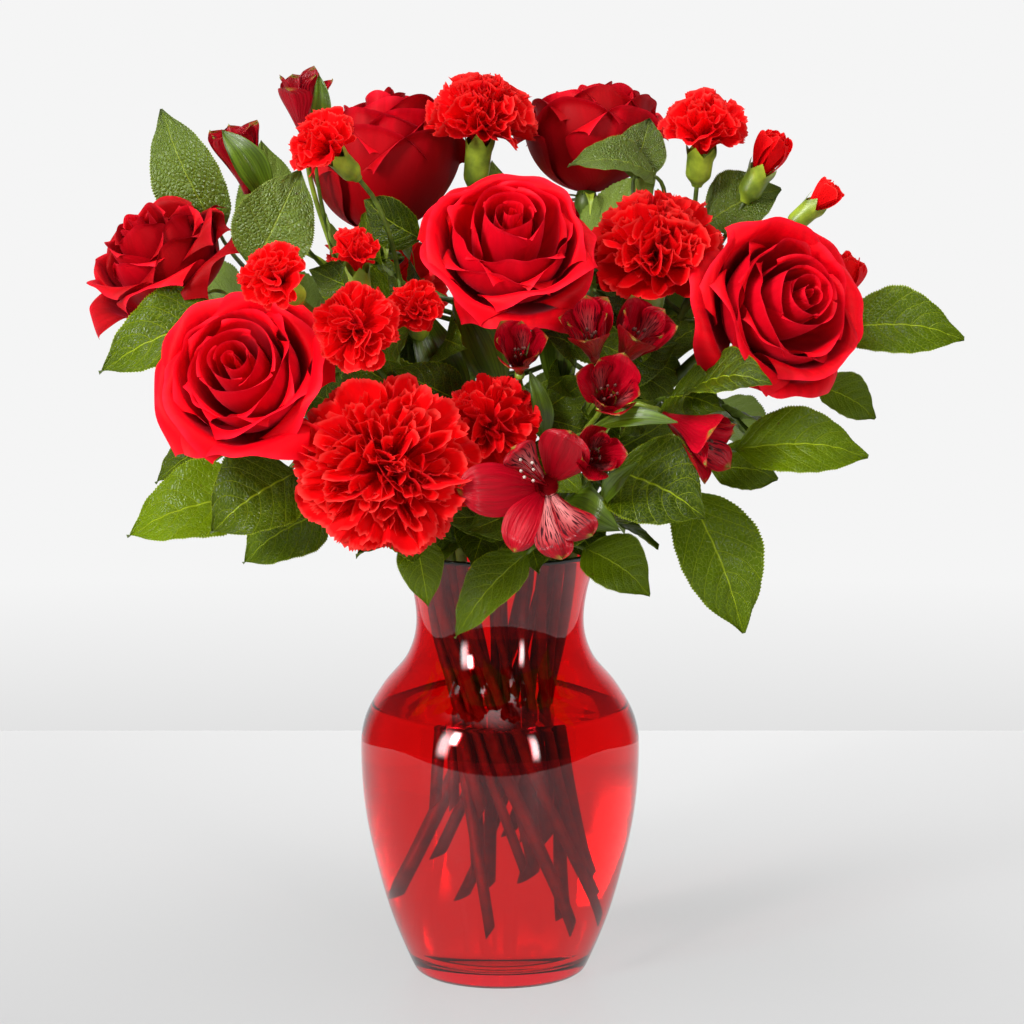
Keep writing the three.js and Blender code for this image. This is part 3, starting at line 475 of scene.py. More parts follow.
def rose_petal(rose, k, chance):
    """Petal k of a rose, counted from the heart outwards."""
    R, H = rose.bloom.radius, rose.bloom.depth
    heart, cup = ROSE_HEART_PETALS, ROSE_CUP_PETALS
    cup_from = rose.heart + rose.gap
    cup_to = cup_from + 0.55 * (0.80 - cup_from)
    open_out, shoulder, even = 0.0, 0.0, 0.34
    if k < heart:
        # Wound tight round the axis.
        age = k / (heart - 1)
        top, rise = R * (0.045 + (rose.heart - 0.045) * age), H * (1.0 - 0.05 * age * age)
        half, belly = math.radians(140 - 50 * age), 1.22 - 0.10 * age
        roll, turn_back = 0.03 + 0.06 * age, math.radians(40 + 60 * age)
    elif k < heart + cup:
        # A loose cup round the heart.
        age = (k - heart) / (cup - 1)
        top = R * (cup_from + (cup_to - cup_from) * age)
        rise = H * (0.97 - rose.stand - (0.03 + 0.10 * rose.spread) * age)
        half, belly = math.radians(82 - 12 * age), 1.10 - 0.06 * age
        roll, turn_back, shoulder = 0.13 + 0.08 * age, math.radians(95), 0.06
    else:
        # The open petals, whose lips roll back.
        age = (k - heart - cup) / (ROSE_OUTER_PETALS - 1)
        top = R * (cup_to + 0.08 + (0.90 - cup_to) * age)
        rise = H * (0.92 - rose.stand - (0.08 + 0.34 * rose.spread) * age)
        half, belly = math.radians((64 - 14 * age) * (1.20 - 0.20 * rose.spread)), 1.02
        loose = min(1, 0.25 + 1.37 * rose.spread)
        roll = (0.22 + 0.12 * age) * chance.uniform(0.8, 1.15) * loose
        turn_back = math.radians(100 + 45 * age) * loose
        open_out, shoulder = rose.spread * (0.25 + 0.75 * age), 0.24 - 0.18 * rose.spread
        even = 0.64
    middle = rose.bloom.turn + k * GOLDEN_ANGLE + chance.uniform(-0.12, 0.12)
    rise *= chance.uniform(0.97, 1.02)
    waves = [chance.uniform(0, PHASES) for _ in range(3)]
    tuck = 0.16 if k < 3 else 0.05
    skew = chance.uniform(-0.35, 0.35)
    sink = rose.dip[0] * H * min(1, 0.3 + 0.7 * k / (heart + cup))
    dip_to = math.radians(rose.dip[1])
    out_at = [0.10 * R, 0.9 * top * belly, top * (belly + (0.70 - belly) * open_out), top]
    up_at = [0.02 * H, 0.12 * H, rise * (0.62 + 0.30 * open_out), rise]
    length = 0.9 * math.hypot(top, rise)

    def place(u, v):
        bend_from = 1 - roll * (even + (1 - even) * np.abs(u + skew * (1 - u * u)) ** 1.8)
        flat = np.minimum(v, bend_from)
        out, up = bezier(*out_at, flat), bezier(*up_at, flat)
        d_out, d_up = (bezier(*line, flat + 1e-3) - bezier(*line, flat) for line in (out_at, up_at))
        slope = np.arctan2(d_up, d_out)
        tight = roll * length / turn_back
        past = np.maximum(0, v - bend_from) * length / tight
        out = out + tight * (np.sin(slope) - np.sin(slope - past))
        up = up + tight * (np.cos(slope - past) - np.cos(slope))
        width = 0.34 + 0.66 * np.sin(math.pi / 2 * np.minimum(1, v / 0.55))
        width = width * np.sqrt(1 - rose.point * step_between(0.60, 1.0, v) ** 2)
        out = out * (1 + tuck * u) + R * 0.014 * np.sin(2.2 * u + waves[0]) * v**2
        if k >= heart:
            ripple = 0.016 * np.sin(5 * u + waves[1]) + 0.007 * np.sin(11 * u + waves[2])
            swell = 0.034 * np.sin(2.6 * u + 4.5 * v + waves[1]) + 0.012 * np.sin(9 * u * v + waves[0])
            out = out + R * (ripple * v**3 + swell * v)
        fall = 0.05 * u * u + shoulder * np.abs(u) ** 2.5 - 0.016 * np.sin(4.1 * u + waves[2])
        up = up - H * fall * v**3
        angle = middle + half * u * width
        up = up - sink * v**1.5 * (1 + np.cos(angle - dip_to))
        return out * np.cos(angle), out * np.sin(angle), up

    return sheet(place, *ROSE_PETAL_GRID)


def new_group(name, given, results):
    """A shared effect: a node group with its named inputs and outputs."""
    group = bpy.data.node_groups.new(name, "ShaderNodeTree")
    for socket in given:
        group.interface.new_socket(socket, in_out="INPUT", socket_type="NodeSocketFloat")
    for socket in results:
        group.interface.new_socket(socket, in_out="OUTPUT", socket_type="NodeSocketFloat")
    inside = group.nodes.new("NodeGroupInput")
    outside = group.nodes.new("NodeGroupOutput")
    return group, inside.outputs, outside.inputs


def own_uv(tree):
    """Where a spot lies on its petal or blade: u across it and v along it."""
    uv = add_node(tree, "UVMap", {"uv_map": "uv"}).outputs[0]
    u, v, _ = add_node(tree, "SeparateXYZ", _0=uv).outputs
    return u, v


def own_tone(tree):
    """How light its petal or blade is, partly by its own colour and partly by painted light and shade.
    """
    return add_node(tree, "Attribute", {"attribute_name": "tone"}).outputs["Fac"]


def lines_group(name, stretch, detail):
    """A group that draws fine lines along a petal or blade. The tone sets each apart."""
    group, given, results = new_group(name, ["Lines"], ["Mask"])
    u, v = own_uv(group)
    across = calc(group, "MULTIPLY", u, given["Lines"])
    along = calc(group, "MULTIPLY", v, stretch)
    apart = calc(group, "MULTIPLY", own_tone(group), 37.0)
    spot = add_node(group, "CombineXYZ", _0=across, _1=along, _2=apart).outputs[0]
    noise = add_node(group, "TexNoise", Vector=spot, Scale=1.0, Detail=detail)
    group.links.new(noise.outputs[0], results["Mask"])
    return group


petal_lines = lines_group("petal_lines", stretch=2.2, detail=3.0)


def place_group(tree, group, **inputs):
    """Puts a shared effect in a material."""
    node = add_node(tree, "Group", {"node_tree": group})
    for key, value in inputs.items():
        node.inputs[key].default_value = value
    return node.outputs


def clamped(tree, value):
    """A value kept between 0 and 1."""
    return calc(tree, "MINIMUM", calc(tree, "MAXIMUM", value, 0.0), 1.0)


def add_relief(tree, shader, height, strength, distance):
    """Lets the light fall on a surface as if it stood out where the height is great."""
    bump = add_node(tree, "Bump", Height=height, Strength=strength, Distance=distance)
    tree.links.new(bump.outputs[0], shader.inputs["Normal"])


def petal_material(name, face, deep, back, lip, fade_to, lines, roughness, glow):
    """A petal ribbed by fine veins, deepened towards its root by painted shade and given a painted
    highlight at its lip. fade_to is how far along it the painted shade reaches, and glow the light
    that shines through."""
    material, tree, shader = new_material(name)
    _, v = own_uv(tree)
    tone = own_tone(tree)
    mask = place_group(tree, petal_lines, Lines=lines)[0]
    # Painted shade: the colour deepens from the lip back to the root, where the petals crowd together.
    fade = ramp(tree, v, fade_to - 0.7, fade_to)
    shade_and_veins = calc(tree, "ADD", fade, calc(tree, "MULTIPLY", calc(tree, "SUBTRACT", mask, 0.5), 1.2))
    shaded = calc(tree, "ADD", shade_and_veins, calc(tree, "MULTIPLY", calc(tree, "SUBTRACT", tone, 0.5), 0.6))
    shaded = clamped(tree, shaded)
    front = blend(tree, shaded, deep, face)
    # The same painted shade deepens the back of each petal.
    back = blend(tree, calc(tree, "MULTIPLY", calc(tree, "SUBTRACT", 1.0, shaded), 0.6), back, deep)
    behind = add_node(tree, "NewGeometry").outputs["Backfacing"]
    outside = calc(tree, "MULTIPLY", calc(tree, "SUBTRACT", 1.0, behind), 0.7)
    colour = blend(tree, outside, front, back)
    # A painted highlight along the lip, in the lip colour, broken up by the veins.
    rim = ramp(tree, v, 0.94, 1.0)
    colour = blend(tree, calc(tree, "MULTIPLY", rim, mask), colour, lip)
    # A shade above zero deepens the petals: partly a deeper red, partly painted shade.
    colour = blend(tree, ramp(tree, tone, 0.0, -1.0), colour, deep)
    tree.links.new(colour, shader.inputs["Base Color"])
    add_relief(tree, shader, mask, strength=0.35, distance=0.0008)
    shader.inputs["Roughness"].default_value = roughness
    shader.inputs["Specular IOR Level"].default_value = 0.08
    shader.inputs["Sheen Weight"].default_value = 0.30
    shader.inputs["Sheen Roughness"].default_value = 0.45
    shader.inputs["Sheen Tint"].default_value = PETAL_BLOOM
    through = add_node(tree, "BsdfTranslucent", Color=colour)
    mix_shaders(tree, glow, shader, through)
    return material


rose_velvet = petal_material(
    "rose_velvet", ROSE_RED, ROSE_DEEP, ROSE_BACK, ROSE_LIP_HIGHLIGHT,
    fade_to=1.0, lines=6.0, roughness=0.5, glow=0.06,
)
for rose in ROSES:
    chance = random.Random(rose.bloom.name)
    sheets = []
    for k in range(ROSE_HEART_PETALS + ROSE_CUP_PETALS + ROSE_OUTER_PETALS):
        points, faces, uv = rose_petal(rose, k, chance)
        sheets.append((set_on(rose.bloom, points), faces, uv, 0, chance.random() - rose.bloom.shade))
    add_piece(rose.bloom.name + "_petals", sheets, [rose_velvet], [rose.bloom.name])

# ---------------------------------------------------------------- the carnations
# Red florist's carnations. Every petal narrows to a claw in the calyx and opens into a fan with a
# frilled, toothed edge, and they crowd each other into a ruffled dome.
CARNATIONS = [
    Bloom("carnation_front", (-0.050, -0.116, 0.258), (0.00, -0.97, 0.20), 0.042, 0.038, 0.0),
    Bloom("carnation_right", (0.072, -0.042, 0.349), (0.12, -0.50, 0.86), 0.032, 0.044, 1.0, 0.8),
    Bloom("carnation_top", (-0.008, 0.015, 0.404), (0.10, -0.15, 0.98), 0.027, 0.034, 2.0, 0.5),
    Bloom("carnation_back", (-0.062, 0.100, 0.312), (-0.40, 0.80, 0.45), 0.038, 0.036, 3.0),
]
# Spray carnations are the same flower in small, with fewer petals, several on one stem.
SPRAY_CARNATIONS = [
    Bloom("spray_left_1", (-0.080, -0.050, 0.395), (-0.60, -0.45, 0.66), 0.018, 0.024, 0.3),
    Bloom("spray_left_2", (-0.098, -0.124, 0.343), (-0.45, -0.72, 0.52), 0.017, 0.022, 1.3),
    Bloom("spray_left_3", (-0.064, -0.076, 0.349), (-0.10, -0.40, 0.91), 0.012, 0.023, 2.3),
    Bloom("spray_left_4", (-0.062, -0.113, 0.319), (0.00, -0.94, 0.33), 0.021, 0.022, 3.3),
    Bloom("spray_left_5", (-0.038, -0.078, 0.324), (-0.10, -0.75, 0.65), 0.014, 0.020, 4.3),
    Bloom("spray_right_1", (0.094, 0.000, 0.399), (0.10, -0.25, 0.96), 0.022, 0.030, 5.3),
    Bloom("spray_front", (-0.004, -0.088, 0.274), (0.10, -0.87, 0.48), 0.023, 0.026, 0.8, 0.8),
]
# The buds show a tuft of rolled petals above the calyx.
SPRAY_BUDS = [
    Bloom("bud_right_1", (0.125, 0.005, 0.386), (0.45, -0.10, 0.88), 0.0090, 0.022, 0.0, 0.8),
    Bloom("bud_right_2", (0.149, -0.010, 0.367), (0.72, -0.10, 0.68), 0.0075, 0.016, 1.0, -0.2),
    Bloom("bud_right_3", (0.160, 0.000, 0.330), (0.35, 0.00, 0.93), 0.0100, 0.020, 2.0, 0.8),
]
# open: how far the outermost petals lean out, in degrees; crowd: how late the inner ones do;
# claw: where the petals leave the calyx; fan: their half width; low: how high the outermost lie;
# ruffle and waves: how deep and how many the frills are; columns: faces across a petal;
# ragged: how deep the teeth of its edge are cut.
HeadShape = namedtuple("HeadShape", "petals open claw crowd fan low ruffle waves columns ragged")
FULL_HEAD = HeadShape(
    petals=40, open=92, claw=0.14, crowd=0.78, fan=0.72, low=0.34,
    ruffle=0.165, waves=2.4, columns=48, ragged=0.045,
)
SMALL_HEAD = HeadShape(
    petals=22, open=92, claw=0.18, crowd=0.74, fan=0.72, low=0.48,
    ruffle=0.17, waves=1.8, columns=36, ragged=0.045,
)
BUD_HEAD = HeadShape(
    petals=14, open=42, claw=0.92, crowd=0.70, fan=0.78, low=0.62,
    ruffle=0.05, waves=0.8, columns=18, ragged=0.02,
)
PETAL_ROWS = 11
# The deep red is painted shade towards the petals' claws, and the edge colour a painted highlight.
CARNATION_RED = (0.90, 0.002, 0.004, 1)
CARNATION_DEEP = (0.70, 0.000, 0.002, 1)
CARNATION_BACK = (0.82, 0.004, 0.005, 1)
CARNATION_EDGE_HIGHLIGHT = (1.00, 0.100, 0.080, 1)


def carnation_petal(bloom, head, k, chance):
    """Petal k of a carnation, counted from the middle outwards."""
    R, H = bloom.radius, bloom.depth
    age = (k + 0.6) / head.petals
    lean_out = math.radians(4 + head.open * age**head.crowd * chance.uniform(0.92, 1.06))
    size = chance.uniform(0.88, 1.0)
    astray = 0.16 * (1 - age) * chance.uniform(-1, 1)
    tip_out = R * (math.sin(min(lean_out, math.pi / 2)) * size + astray)
    tip_up = H * (head.low + (1 - head.low) * math.cos(lean_out)) * size
    middle = bloom.turn + k * GOLDEN_ANGLE + chance.uniform(-0.2, 0.2)
    fan = head.fan * R * (0.66 + 0.34 * age) * chance.uniform(0.85, 1.1)
    twist = chance.uniform(-1.0, 1.0) * (0.30 + 1.1 * (1 - age) ** 0.7)
    waves = head.waves * chance.uniform(0.8, 1.25) * (1.40 - 0.85 * age)
    phases = [chance.uniform(0, PHASES) for _ in range(4)]
    ruffle = head.ruffle * R * chance.uniform(0.8, 1.2) * (1.20 - 0.65 * age)
    teeth = [chance.uniform(0, 1) * (n % 2) for n in range(head.columns + 1)]
    claw = head.claw * R * (0.3 + 0.7 * age)
    out_at = [0.5 * claw, claw, max(claw, tip_out - 0.40 * R * math.sin(lean_out * 0.9)), tip_out]
    up_at = [0.04 * H, 0.40 * H, tip_up - 0.40 * R * math.cos(lean_out * 0.9), tip_up]

    def place(u, v):
        column = np.round((u + 1) / 2 * head.columns).astype(int)
        tooth = np.array(teeth)[column] * step_between(0.75, 1, v)
        lobes = 0.05 * np.sin(5 * u + phases[2])
        reach = v * (1 - 0.17 * u**2 - 0.10 * u**8 + lobes * v - head.ragged * tooth)
        out, up = bezier(*out_at, reach), bezier(*up_at, reach)
        d_out, d_up = (bezier(*line, reach + 1e-3) - bezier(*line, reach) for line in (out_at, up_at))
        size = np.hypot(d_out, d_up) + 1e-12
        wave = np.sin(waves * math.pi * u + phases[0])
        wave = wave + 0.5 * np.sin(2.1 * waves * math.pi * u + phases[1])
        wave = wave + 0.35 * np.sin(9 * v + 3 * u + phases[3])
        side = fan * u * (0.14 + 0.86 * np.clip(reach, 0, 1) ** 1.1)
        shift = ruffle * wave * np.clip(reach, 0, 1) ** 2 + side * math.sin(twist)
        out = out - d_up / size * shift
        up = up + d_out / size * shift
        sway = 0.25 * ruffle * np.cos(waves * 2 * math.pi * u + phases[1]) * v**2
        side = side * math.cos(twist) + sway
        x = out * math.cos(middle) - side * math.sin(middle)
        y = out * math.sin(middle) + side * math.cos(middle)
        return x, y, up

    return sheet(place, head.columns, PETAL_ROWS)


def keep_within(points, bloom):
    """Draws in softly what reaches further out from the axis than the bloom's size."""
    out = np.hypot(points[:, 0], points[:, 1])
    free, last = 0.86 * bloom.radius, 0.17 * bloom.radius
    drawn_in = free + last * np.tanh((out - free) / last)
    share = np.where(out > free, drawn_in / np.maximum(out, 1e-9), 1)
    return points * np.stack([share, share, np.ones(len(share))], -1)


carnation_silk = petal_material(
    "carnation_silk", CARNATION_RED, CARNATION_DEEP, CARNATION_BACK, CARNATION_EDGE_HIGHLIGHT,
    fade_to=0.85, lines=7.0, roughness=0.55, glow=0.26,
)
for blooms, head in [(CARNATIONS, FULL_HEAD), (SPRAY_CARNATIONS, SMALL_HEAD), (SPRAY_BUDS, BUD_HEAD)]:
    for bloom in blooms:
        chance = random.Random(bloom.name)
        sheets = []
        for k in range(head.petals):
            points, faces, uv = carnation_petal(bloom, head, k, chance)
            points = set_on(bloom, keep_within(points, bloom))
            sheets.append((points, faces, uv, 0, chance.random() - bloom.shade))
        add_piece(bloom.name + "_petals", sheets, [carnation_silk], [bloom.name])

# ---------------------------------------------------------------- the alstroemerias
# Crimson alstroemerias. Three broad outer tepals with a green tip stand round three narrow inner
# ones, which are paler and streaked, and thin stamens with grainy ends stand in the throat.

# throat: where the throat opens off the axis, in radii; stamens: how far they stand up, as a share.
Lily = namedtuple("Lily", "bloom throat stamens tepals")
# angle: round the axis, in degrees; reach: in radii; wide: a share of the usual width.
Tepal = namedtuple("Tepal", "ring angle reach wide", defaults=[1.0])
HALF_OPEN = [
    *[Tepal("outer", angle, 0.84) for angle in (0, 120, 240)],
    *[Tepal("inner", angle, 0.62) for angle in (60, 180, 300)],
]
BELL = [
    *[Tepal("outer", angle, 1.12, 1.35) for angle in (20, 140, 260)],
    *[Tepal("inner", angle, 0.86, 1.30) for angle in (80, 200, 320)],
]
# The open flower at the front hangs on its side: its lower tepals reach far down.
FULLY_OPEN = [
    Tepal("outer", 188, 1.46),
    Tepal("outer", 232, 1.20, 0.72),
    Tepal("outer", 56, 1.00),
    Tepal("inner", 124, 0.80),
    Tepal("inner", 294, 1.20),
    Tepal("inner", 266, 1.36),
]
ALSTROEMERIAS = [
    Lily(
        Bloom("lily_top_1", (-0.091, 0.020, 0.407), (-0.05, -0.15, 0.98), 0.016, 0.036, 0.0),
        (0, 0), 0.6, HALF_OPEN,
    ),
    Lily(
        Bloom("lily_top_2", (-0.120, 0.008, 0.384), (-0.20, -0.10, 0.97), 0.017, 0.036, 0.5),
        (0, 0), 0.6, HALF_OPEN,
    ),
    Lily(
        Bloom("lily_mid_1", (0.009, -0.095, 0.305), (0.00, -0.80, 0.60), 0.015, 0.032, 0.2),
        (0, 0), 0.7, HALF_OPEN,
    ),
    Lily(
        Bloom("lily_mid_2", (0.040, -0.088, 0.313), (-0.15, -0.60, 0.78), 0.016, 0.034, 0.7),
        (0, 0), 0.6, HALF_OPEN,
    ),
    Lily(
        Bloom("lily_mid_3", (0.061, -0.086, 0.311), (0.38, -0.55, 0.74), 0.018, 0.034, 0.1),
        (0, 0), 0.7, HALF_OPEN,
    ),
    Lily(
        Bloom("lily_mid_4", (0.048, -0.102, 0.288), (0.15, -0.86, 0.48), 0.019, 0.030, 1.0),
        (0, 0), 0.7, HALF_OPEN,
    ),
    Lily(
        Bloom("lily_low_1", (0.007, -0.116, 0.247), (-0.05, -0.97, 0.22), 0.029, 0.034, 0.0, 0.0),
        (0.47, 0.08), 1.0, FULLY_OPEN,
    ),
    Lily(
        Bloom("lily_low_2", (0.042, -0.110, 0.262), (0.25, -0.92, 0.30), 0.015, 0.030, 0.4),
        (0, 0), 0.7, HALF_OPEN,
    ),
    Lily(
        Bloom("lily_low_3", (0.088, -0.085, 0.267), (0.80, -0.42, -0.42), 0.015, 0.038, 0.9, -0.9),
        (0, 0), 0.8, BELL,
    ),
]
# How far along a tepal, and its share of the half width there.
OUTER_TEPAL = [(0, 0.16), (0.30, 0.52), (0.60, 0.96), (0.80, 0.94), (0.93, 0.52), (1, 0.0)]
OPEN_TEPAL = [(0, 0.12), (0.25, 0.56), (0.50, 0.98), (0.72, 0.90), (0.90, 0.46), (1, 0.0)]
INNER_TEPAL = [(0, 0.20), (0.35, 0.50), (0.65, 0.98), (0.84, 0.80), (0.95, 0.36), (1, 0.0)]
LILY_RED = (0.54, 0.000, 0.013, 1)
LILY_DEEP = (0.15, 0.000, 0.002, 1)
LILY_PALE = (0.84, 0.30, 0.29, 1)
LILY_STREAK = (0.045, 0.000, 0.003, 1)
LILY_GREEN = (0.20, 0.26, 0.03, 1)
STAMEN_DARK = (0.16, 0.05, 0.03, 1)
STAMEN_PALE = (0.62, 0.54, 0.50, 1)
POLLEN_DARK = (0.05, 0.01, 0.01, 1)
POLLEN_PALE = (0.45, 0.36, 0.28, 1)
STAMENS = 6
STAMEN_RADIUS = 0.00035
STAMENS_LEAN = (-0.27, 0.20)
# The end of a stamen: the height about the tip, and the radius there.
ANTHER = [(-0.0008, 0.0005), (0.0, 0.0008), (0.0012, 0.0004)]
TEPAL_GRID = (14, 22)


def blade_width(t, stations):
    """The share of a blade's half width at t along it, smooth between its stations."""
    curve = spline(stations, 24)
    return np.clip(np.interp(t, curve[:, 0], curve[:, 1]), 0.004, None)


def tepal(lily, part, chance):
    """One tepal: a spoon that leaves the throat and opens outwards."""
    R, H = lily.bloom.radius, lily.bloom.depth
    angle = math.radians(part.angle) + lily.bloom.turn
    wide_open = lily.tepals is FULLY_OPEN
    outer = part.ring == "outer"
    stations = OUTER_TEPAL if outer else INNER_TEPAL
    half = (0.54 if outer else 0.36) * R * part.wide * chance.uniform(0.85, 1.1)
    if wide_open:
        half = R * part.wide * (0.42 if outer else 0.29)
        stations = OPEN_TEPAL if outer else INNER_TEPAL
    tip = R * part.reach * chance.uniform(0.85, 1.05)
    high = H * (0.92 if outer else 0.98) * chance.uniform(0.88, 1.0)
    flare = 0.0 if wide_open else 0.05 * R
    belly = 0.26 if wide_open else 0.48
    drop = 0.14 if wide_open else 0.04
    cup = -0.22 if wide_open else 0.42
    wave, bend = chance.uniform(0, PHASES), chance.uniform(-0.32, 0.32)

    def place(u, v):
        out = bezier(0.12 * R, belly * R, 0.80 * tip + 0.06 * R, tip, v)
        up = bezier(0.06 * H, 0.45 * H, (0.98 if wide_open else 0.80) * high, high, v)
        lip = step_between(0.72, 1, v)
        out = out + flare * lip
        up = up - drop * H * lip
        side = half * u * blade_width(v, stations)
        lift = cup * np.abs(u) ** 1.8 * half * blade_width(v, stations)
        out = out - lift * (0.1 if wide_open else 0.9)
        up = up + lift * (0.9 if wide_open else 0.15)
        out = out + 0.02 * R * np.sin(5 * v + wave) + 0.015 * R * np.sin(7 * u + wave) * v
        up = up + 0.035 * R * np.sin(4 * u + 3 * v + wave) * v
        turn = angle + bend * v
        x = out * np.cos(turn) - side * np.sin(turn) + lily.throat[0] * R
        y = out * np.sin(turn) + side * np.cos(turn) + lily.throat[1] * R
        return x, y, up

    return sheet(place, *TEPAL_GRID)


def tube(line, radii, sides=10, slant=0.0):
    """A round tube through the points of a line, closed at both ends. The first is cut at a slant."""
    line = np.array(line, float)
    radii = np.array(radii, float) * np.ones(len(line))
    line = np.vstack([line[:1], line, line[-1:]])
    radii = np.concatenate([[0], radii, [0]])
    along = np.gradient(line, axis=0)
    along[0], along[-1] = along[1], along[-2]
    along /= np.linalg.norm(along, axis=1)[:, None]
    side = np.array([1.0, 0, 0]) if abs(along[0][2]) > 0.9 else np.array([0, 0, 1.0])
    rings = []
    turn = np.linspace(0, 2 * math.pi, sides + 1)
    for n, (p, radius, way) in enumerate(zip(line, radii, along)):
        side = side - way * (side @ way)
        side /= np.linalg.norm(side)
        other = np.cross(way, side)
        ring = p + radius * (np.outer(np.cos(turn), side) + np.outer(np.sin(turn), other))
        rings.append(ring + (slant * radius * np.outer(np.cos(turn), way) if n == 1 else 0))
    points = np.array(rings).reshape(-1, 3)
    n = np.arange(len(points)).reshape(len(line), sides + 1)
    faces = np.stack([n[:-1, :-1], n[:-1, 1:], n[1:, 1:], n[1:, :-1]], -1).reshape(-1, 4)
    lengths = np.concatenate([[0], np.cumsum(np.linalg.norm(np.diff(line, axis=0), axis=1))])
    uv = np.stack([np.tile(turn / math.pi - 1, len(line)), np.repeat(lengths, sides + 1)], -1)
    return points, faces, uv


def tepal_material(name, pale_share, dash_share):
    """A satin tepal with a green tip. Dark dashes run outwards over a paler ground."""
    material, tree, shader = new_material(name)
    u, v = own_uv(tree)
    tone = own_tone(tree)
    mask = place_group(tree, petal_lines, Lines=8.0)[0]
    # The tone, partly at random and partly the bloom's painted light and shade, moves the red between
    # deep and full.
    light = calc(tree, "ADD", mask, calc(tree, "MULTIPLY", calc(tree, "SUBTRACT", tone, 0.5), 0.5))
    ground = blend(tree, clamped(tree, light), LILY_DEEP, LILY_RED)
    from_middle = calc(tree, "ABSOLUTE", u)
    middle = calc(tree, "SUBTRACT", 1.0, from_middle)
    if pale_share:
        pale = calc(tree, "MULTIPLY", ramp(tree, v, 0.74, 0.30), ramp(tree, middle, 0.12, 0.92))
        ground = blend(tree, calc(tree, "MULTIPLY", pale, pale_share), ground, LILY_PALE)
    across = calc(tree, "SUBTRACT", calc(tree, "MULTIPLY", u, 7.0), v)
    fanned = calc(tree, "MULTIPLY", from_middle, 1.6)
    along = calc(tree, "SUBTRACT", calc(tree, "MULTIPLY", v, 3.4), fanned)
    apart = calc(tree, "MULTIPLY", tone, 20.0)
    dash_at = add_node(tree, "CombineXYZ", _0=across, _1=along, _2=apart).outputs[0]
    dashes = add_node(tree, "TexNoise", Vector=dash_at, Scale=1.6, Detail=1.0).outputs[0]
    dark = calc(tree, "MULTIPLY", ramp(tree, dashes, 0.535, 0.575), ramp(tree, v, 0.86, 0.66))
    dark = calc(tree, "MULTIPLY", dark, dash_share)
    ground = blend(tree, dark, ground, LILY_STREAK)
    near_tip = ramp(tree, v, 0.90, 0.97)
    colour = blend(tree, calc(tree, "MULTIPLY", near_tip, middle), ground, LILY_GREEN)
    tree.links.new(colour, shader.inputs["Base Color"])
    add_relief(tree, shader, mask, strength=0.6, distance=0.0014)
    shader.inputs["Roughness"].default_value = 0.34
    shader.inputs["Specular IOR Level"].default_value = 0.26
    through = add_node(tree, "BsdfTranslucent", Color=colour)
    mix_shaders(tree, 0.12, shader, through)
    return material


tepal_plain = tepal_material("tepal_plain", pale_share=0.0, dash_share=0.0)
tepal_dark = tepal_material("tepal_dark_streaked", pale_share=0.30, dash_share=0.9)
tepal_pale = tepal_material("tepal_pale_streaked", pale_share=0.95, dash_share=1.0)


def stamen_tip(name, light, dark):
    """The grainy end of a stamen."""
    material, tree, shader = new_material(name)
    grain = add_node(tree, "TexNoise", Scale=3000.0).outputs[0]
    tree.links.new(blend(tree, grain, dark, light), shader.inputs["Base Color"])
    shader.inputs["Roughness"].default_value = 0.7
    return material


pollen_pale = stamen_tip("pollen_pale", STAMEN_PALE, POLLEN_PALE)
pollen_dark = stamen_tip("pollen_dark", STAMEN_DARK, POLLEN_DARK)
for lily in ALSTROEMERIAS:
    bloom = lily.bloom
    R, H = bloom.radius, bloom.depth
    chance = random.Random(bloom.name)
    sheets = []
    for part in lily.tepals:
        points, faces, uv = tepal(lily, part, chance)
        look = 0 if part.ring == "outer" else 1
        sheets.append((set_on(bloom, points), faces, uv, look, chance.random() - bloom.shade))
    middle = np.array([lily.throat[0] * R, lily.throat[1] * R, 0])
    wide_open = lily.tepals is FULLY_OPEN
    mouth = (0.17 * R, 0.20 * H) if wide_open else (0.24 * R, 0.34 * H)
    throat = turned([(0, 0), (0.13 * R, 0), (0.18 * R, 0.14 * H), mouth], sides=20)
    lean = throat[0] + middle * np.clip(throat[0][:, 2:] / (0.14 * H), 0, 1)
    sheets.append((set_on(bloom, lean), *throat[1:], 0, -1.5 if wide_open else 0.5))
    for k in range(STAMENS):
        angle = k * math.tau / STAMENS + chance.uniform(-0.2, 0.2)
        reach = (0.08 + 0.16 * chance.random()) * R
        rise = H * chance.uniform(0.70, 0.92) * lily.stamens
        top = middle + (reach * math.cos(angle), reach * math.sin(angle), rise)
        if wide_open:
            top = top + (STAMENS_LEAN[0] * R, STAMENS_LEAN[1] * R, 0)
        line = [middle + (0, 0, 0.2 * H), middle + (top - middle) * (0.5, 0.5, 0.7), top]
        stalk = tube(line, STAMEN_RADIUS, sides=5)
        sheets.append((set_on(bloom, stalk[0]), *stalk[1:], 0, 0.9))
        end = tube([top + (0, 0, up) for up, _ in ANTHER], [wide for _, wide in ANTHER], sides=6)
        sheets.append((set_on(bloom, end[0]), *end[1:], 2, 0.5))
    streaked, pollen = (tepal_pale, pollen_pale) if wide_open else (tepal_dark, pollen_dark)
    looks = [tepal_plain, streaked, pollen]
    add_piece(bloom.name + "_flower", sheets, looks, [bloom.name])

# ---------------------------------------------------------------- the stems
# Every stem stands in the water, passes the waist of the vase beside its neighbours and leans
# out to its bloom. In the water they fan out in a spiral, each cut at its own length.

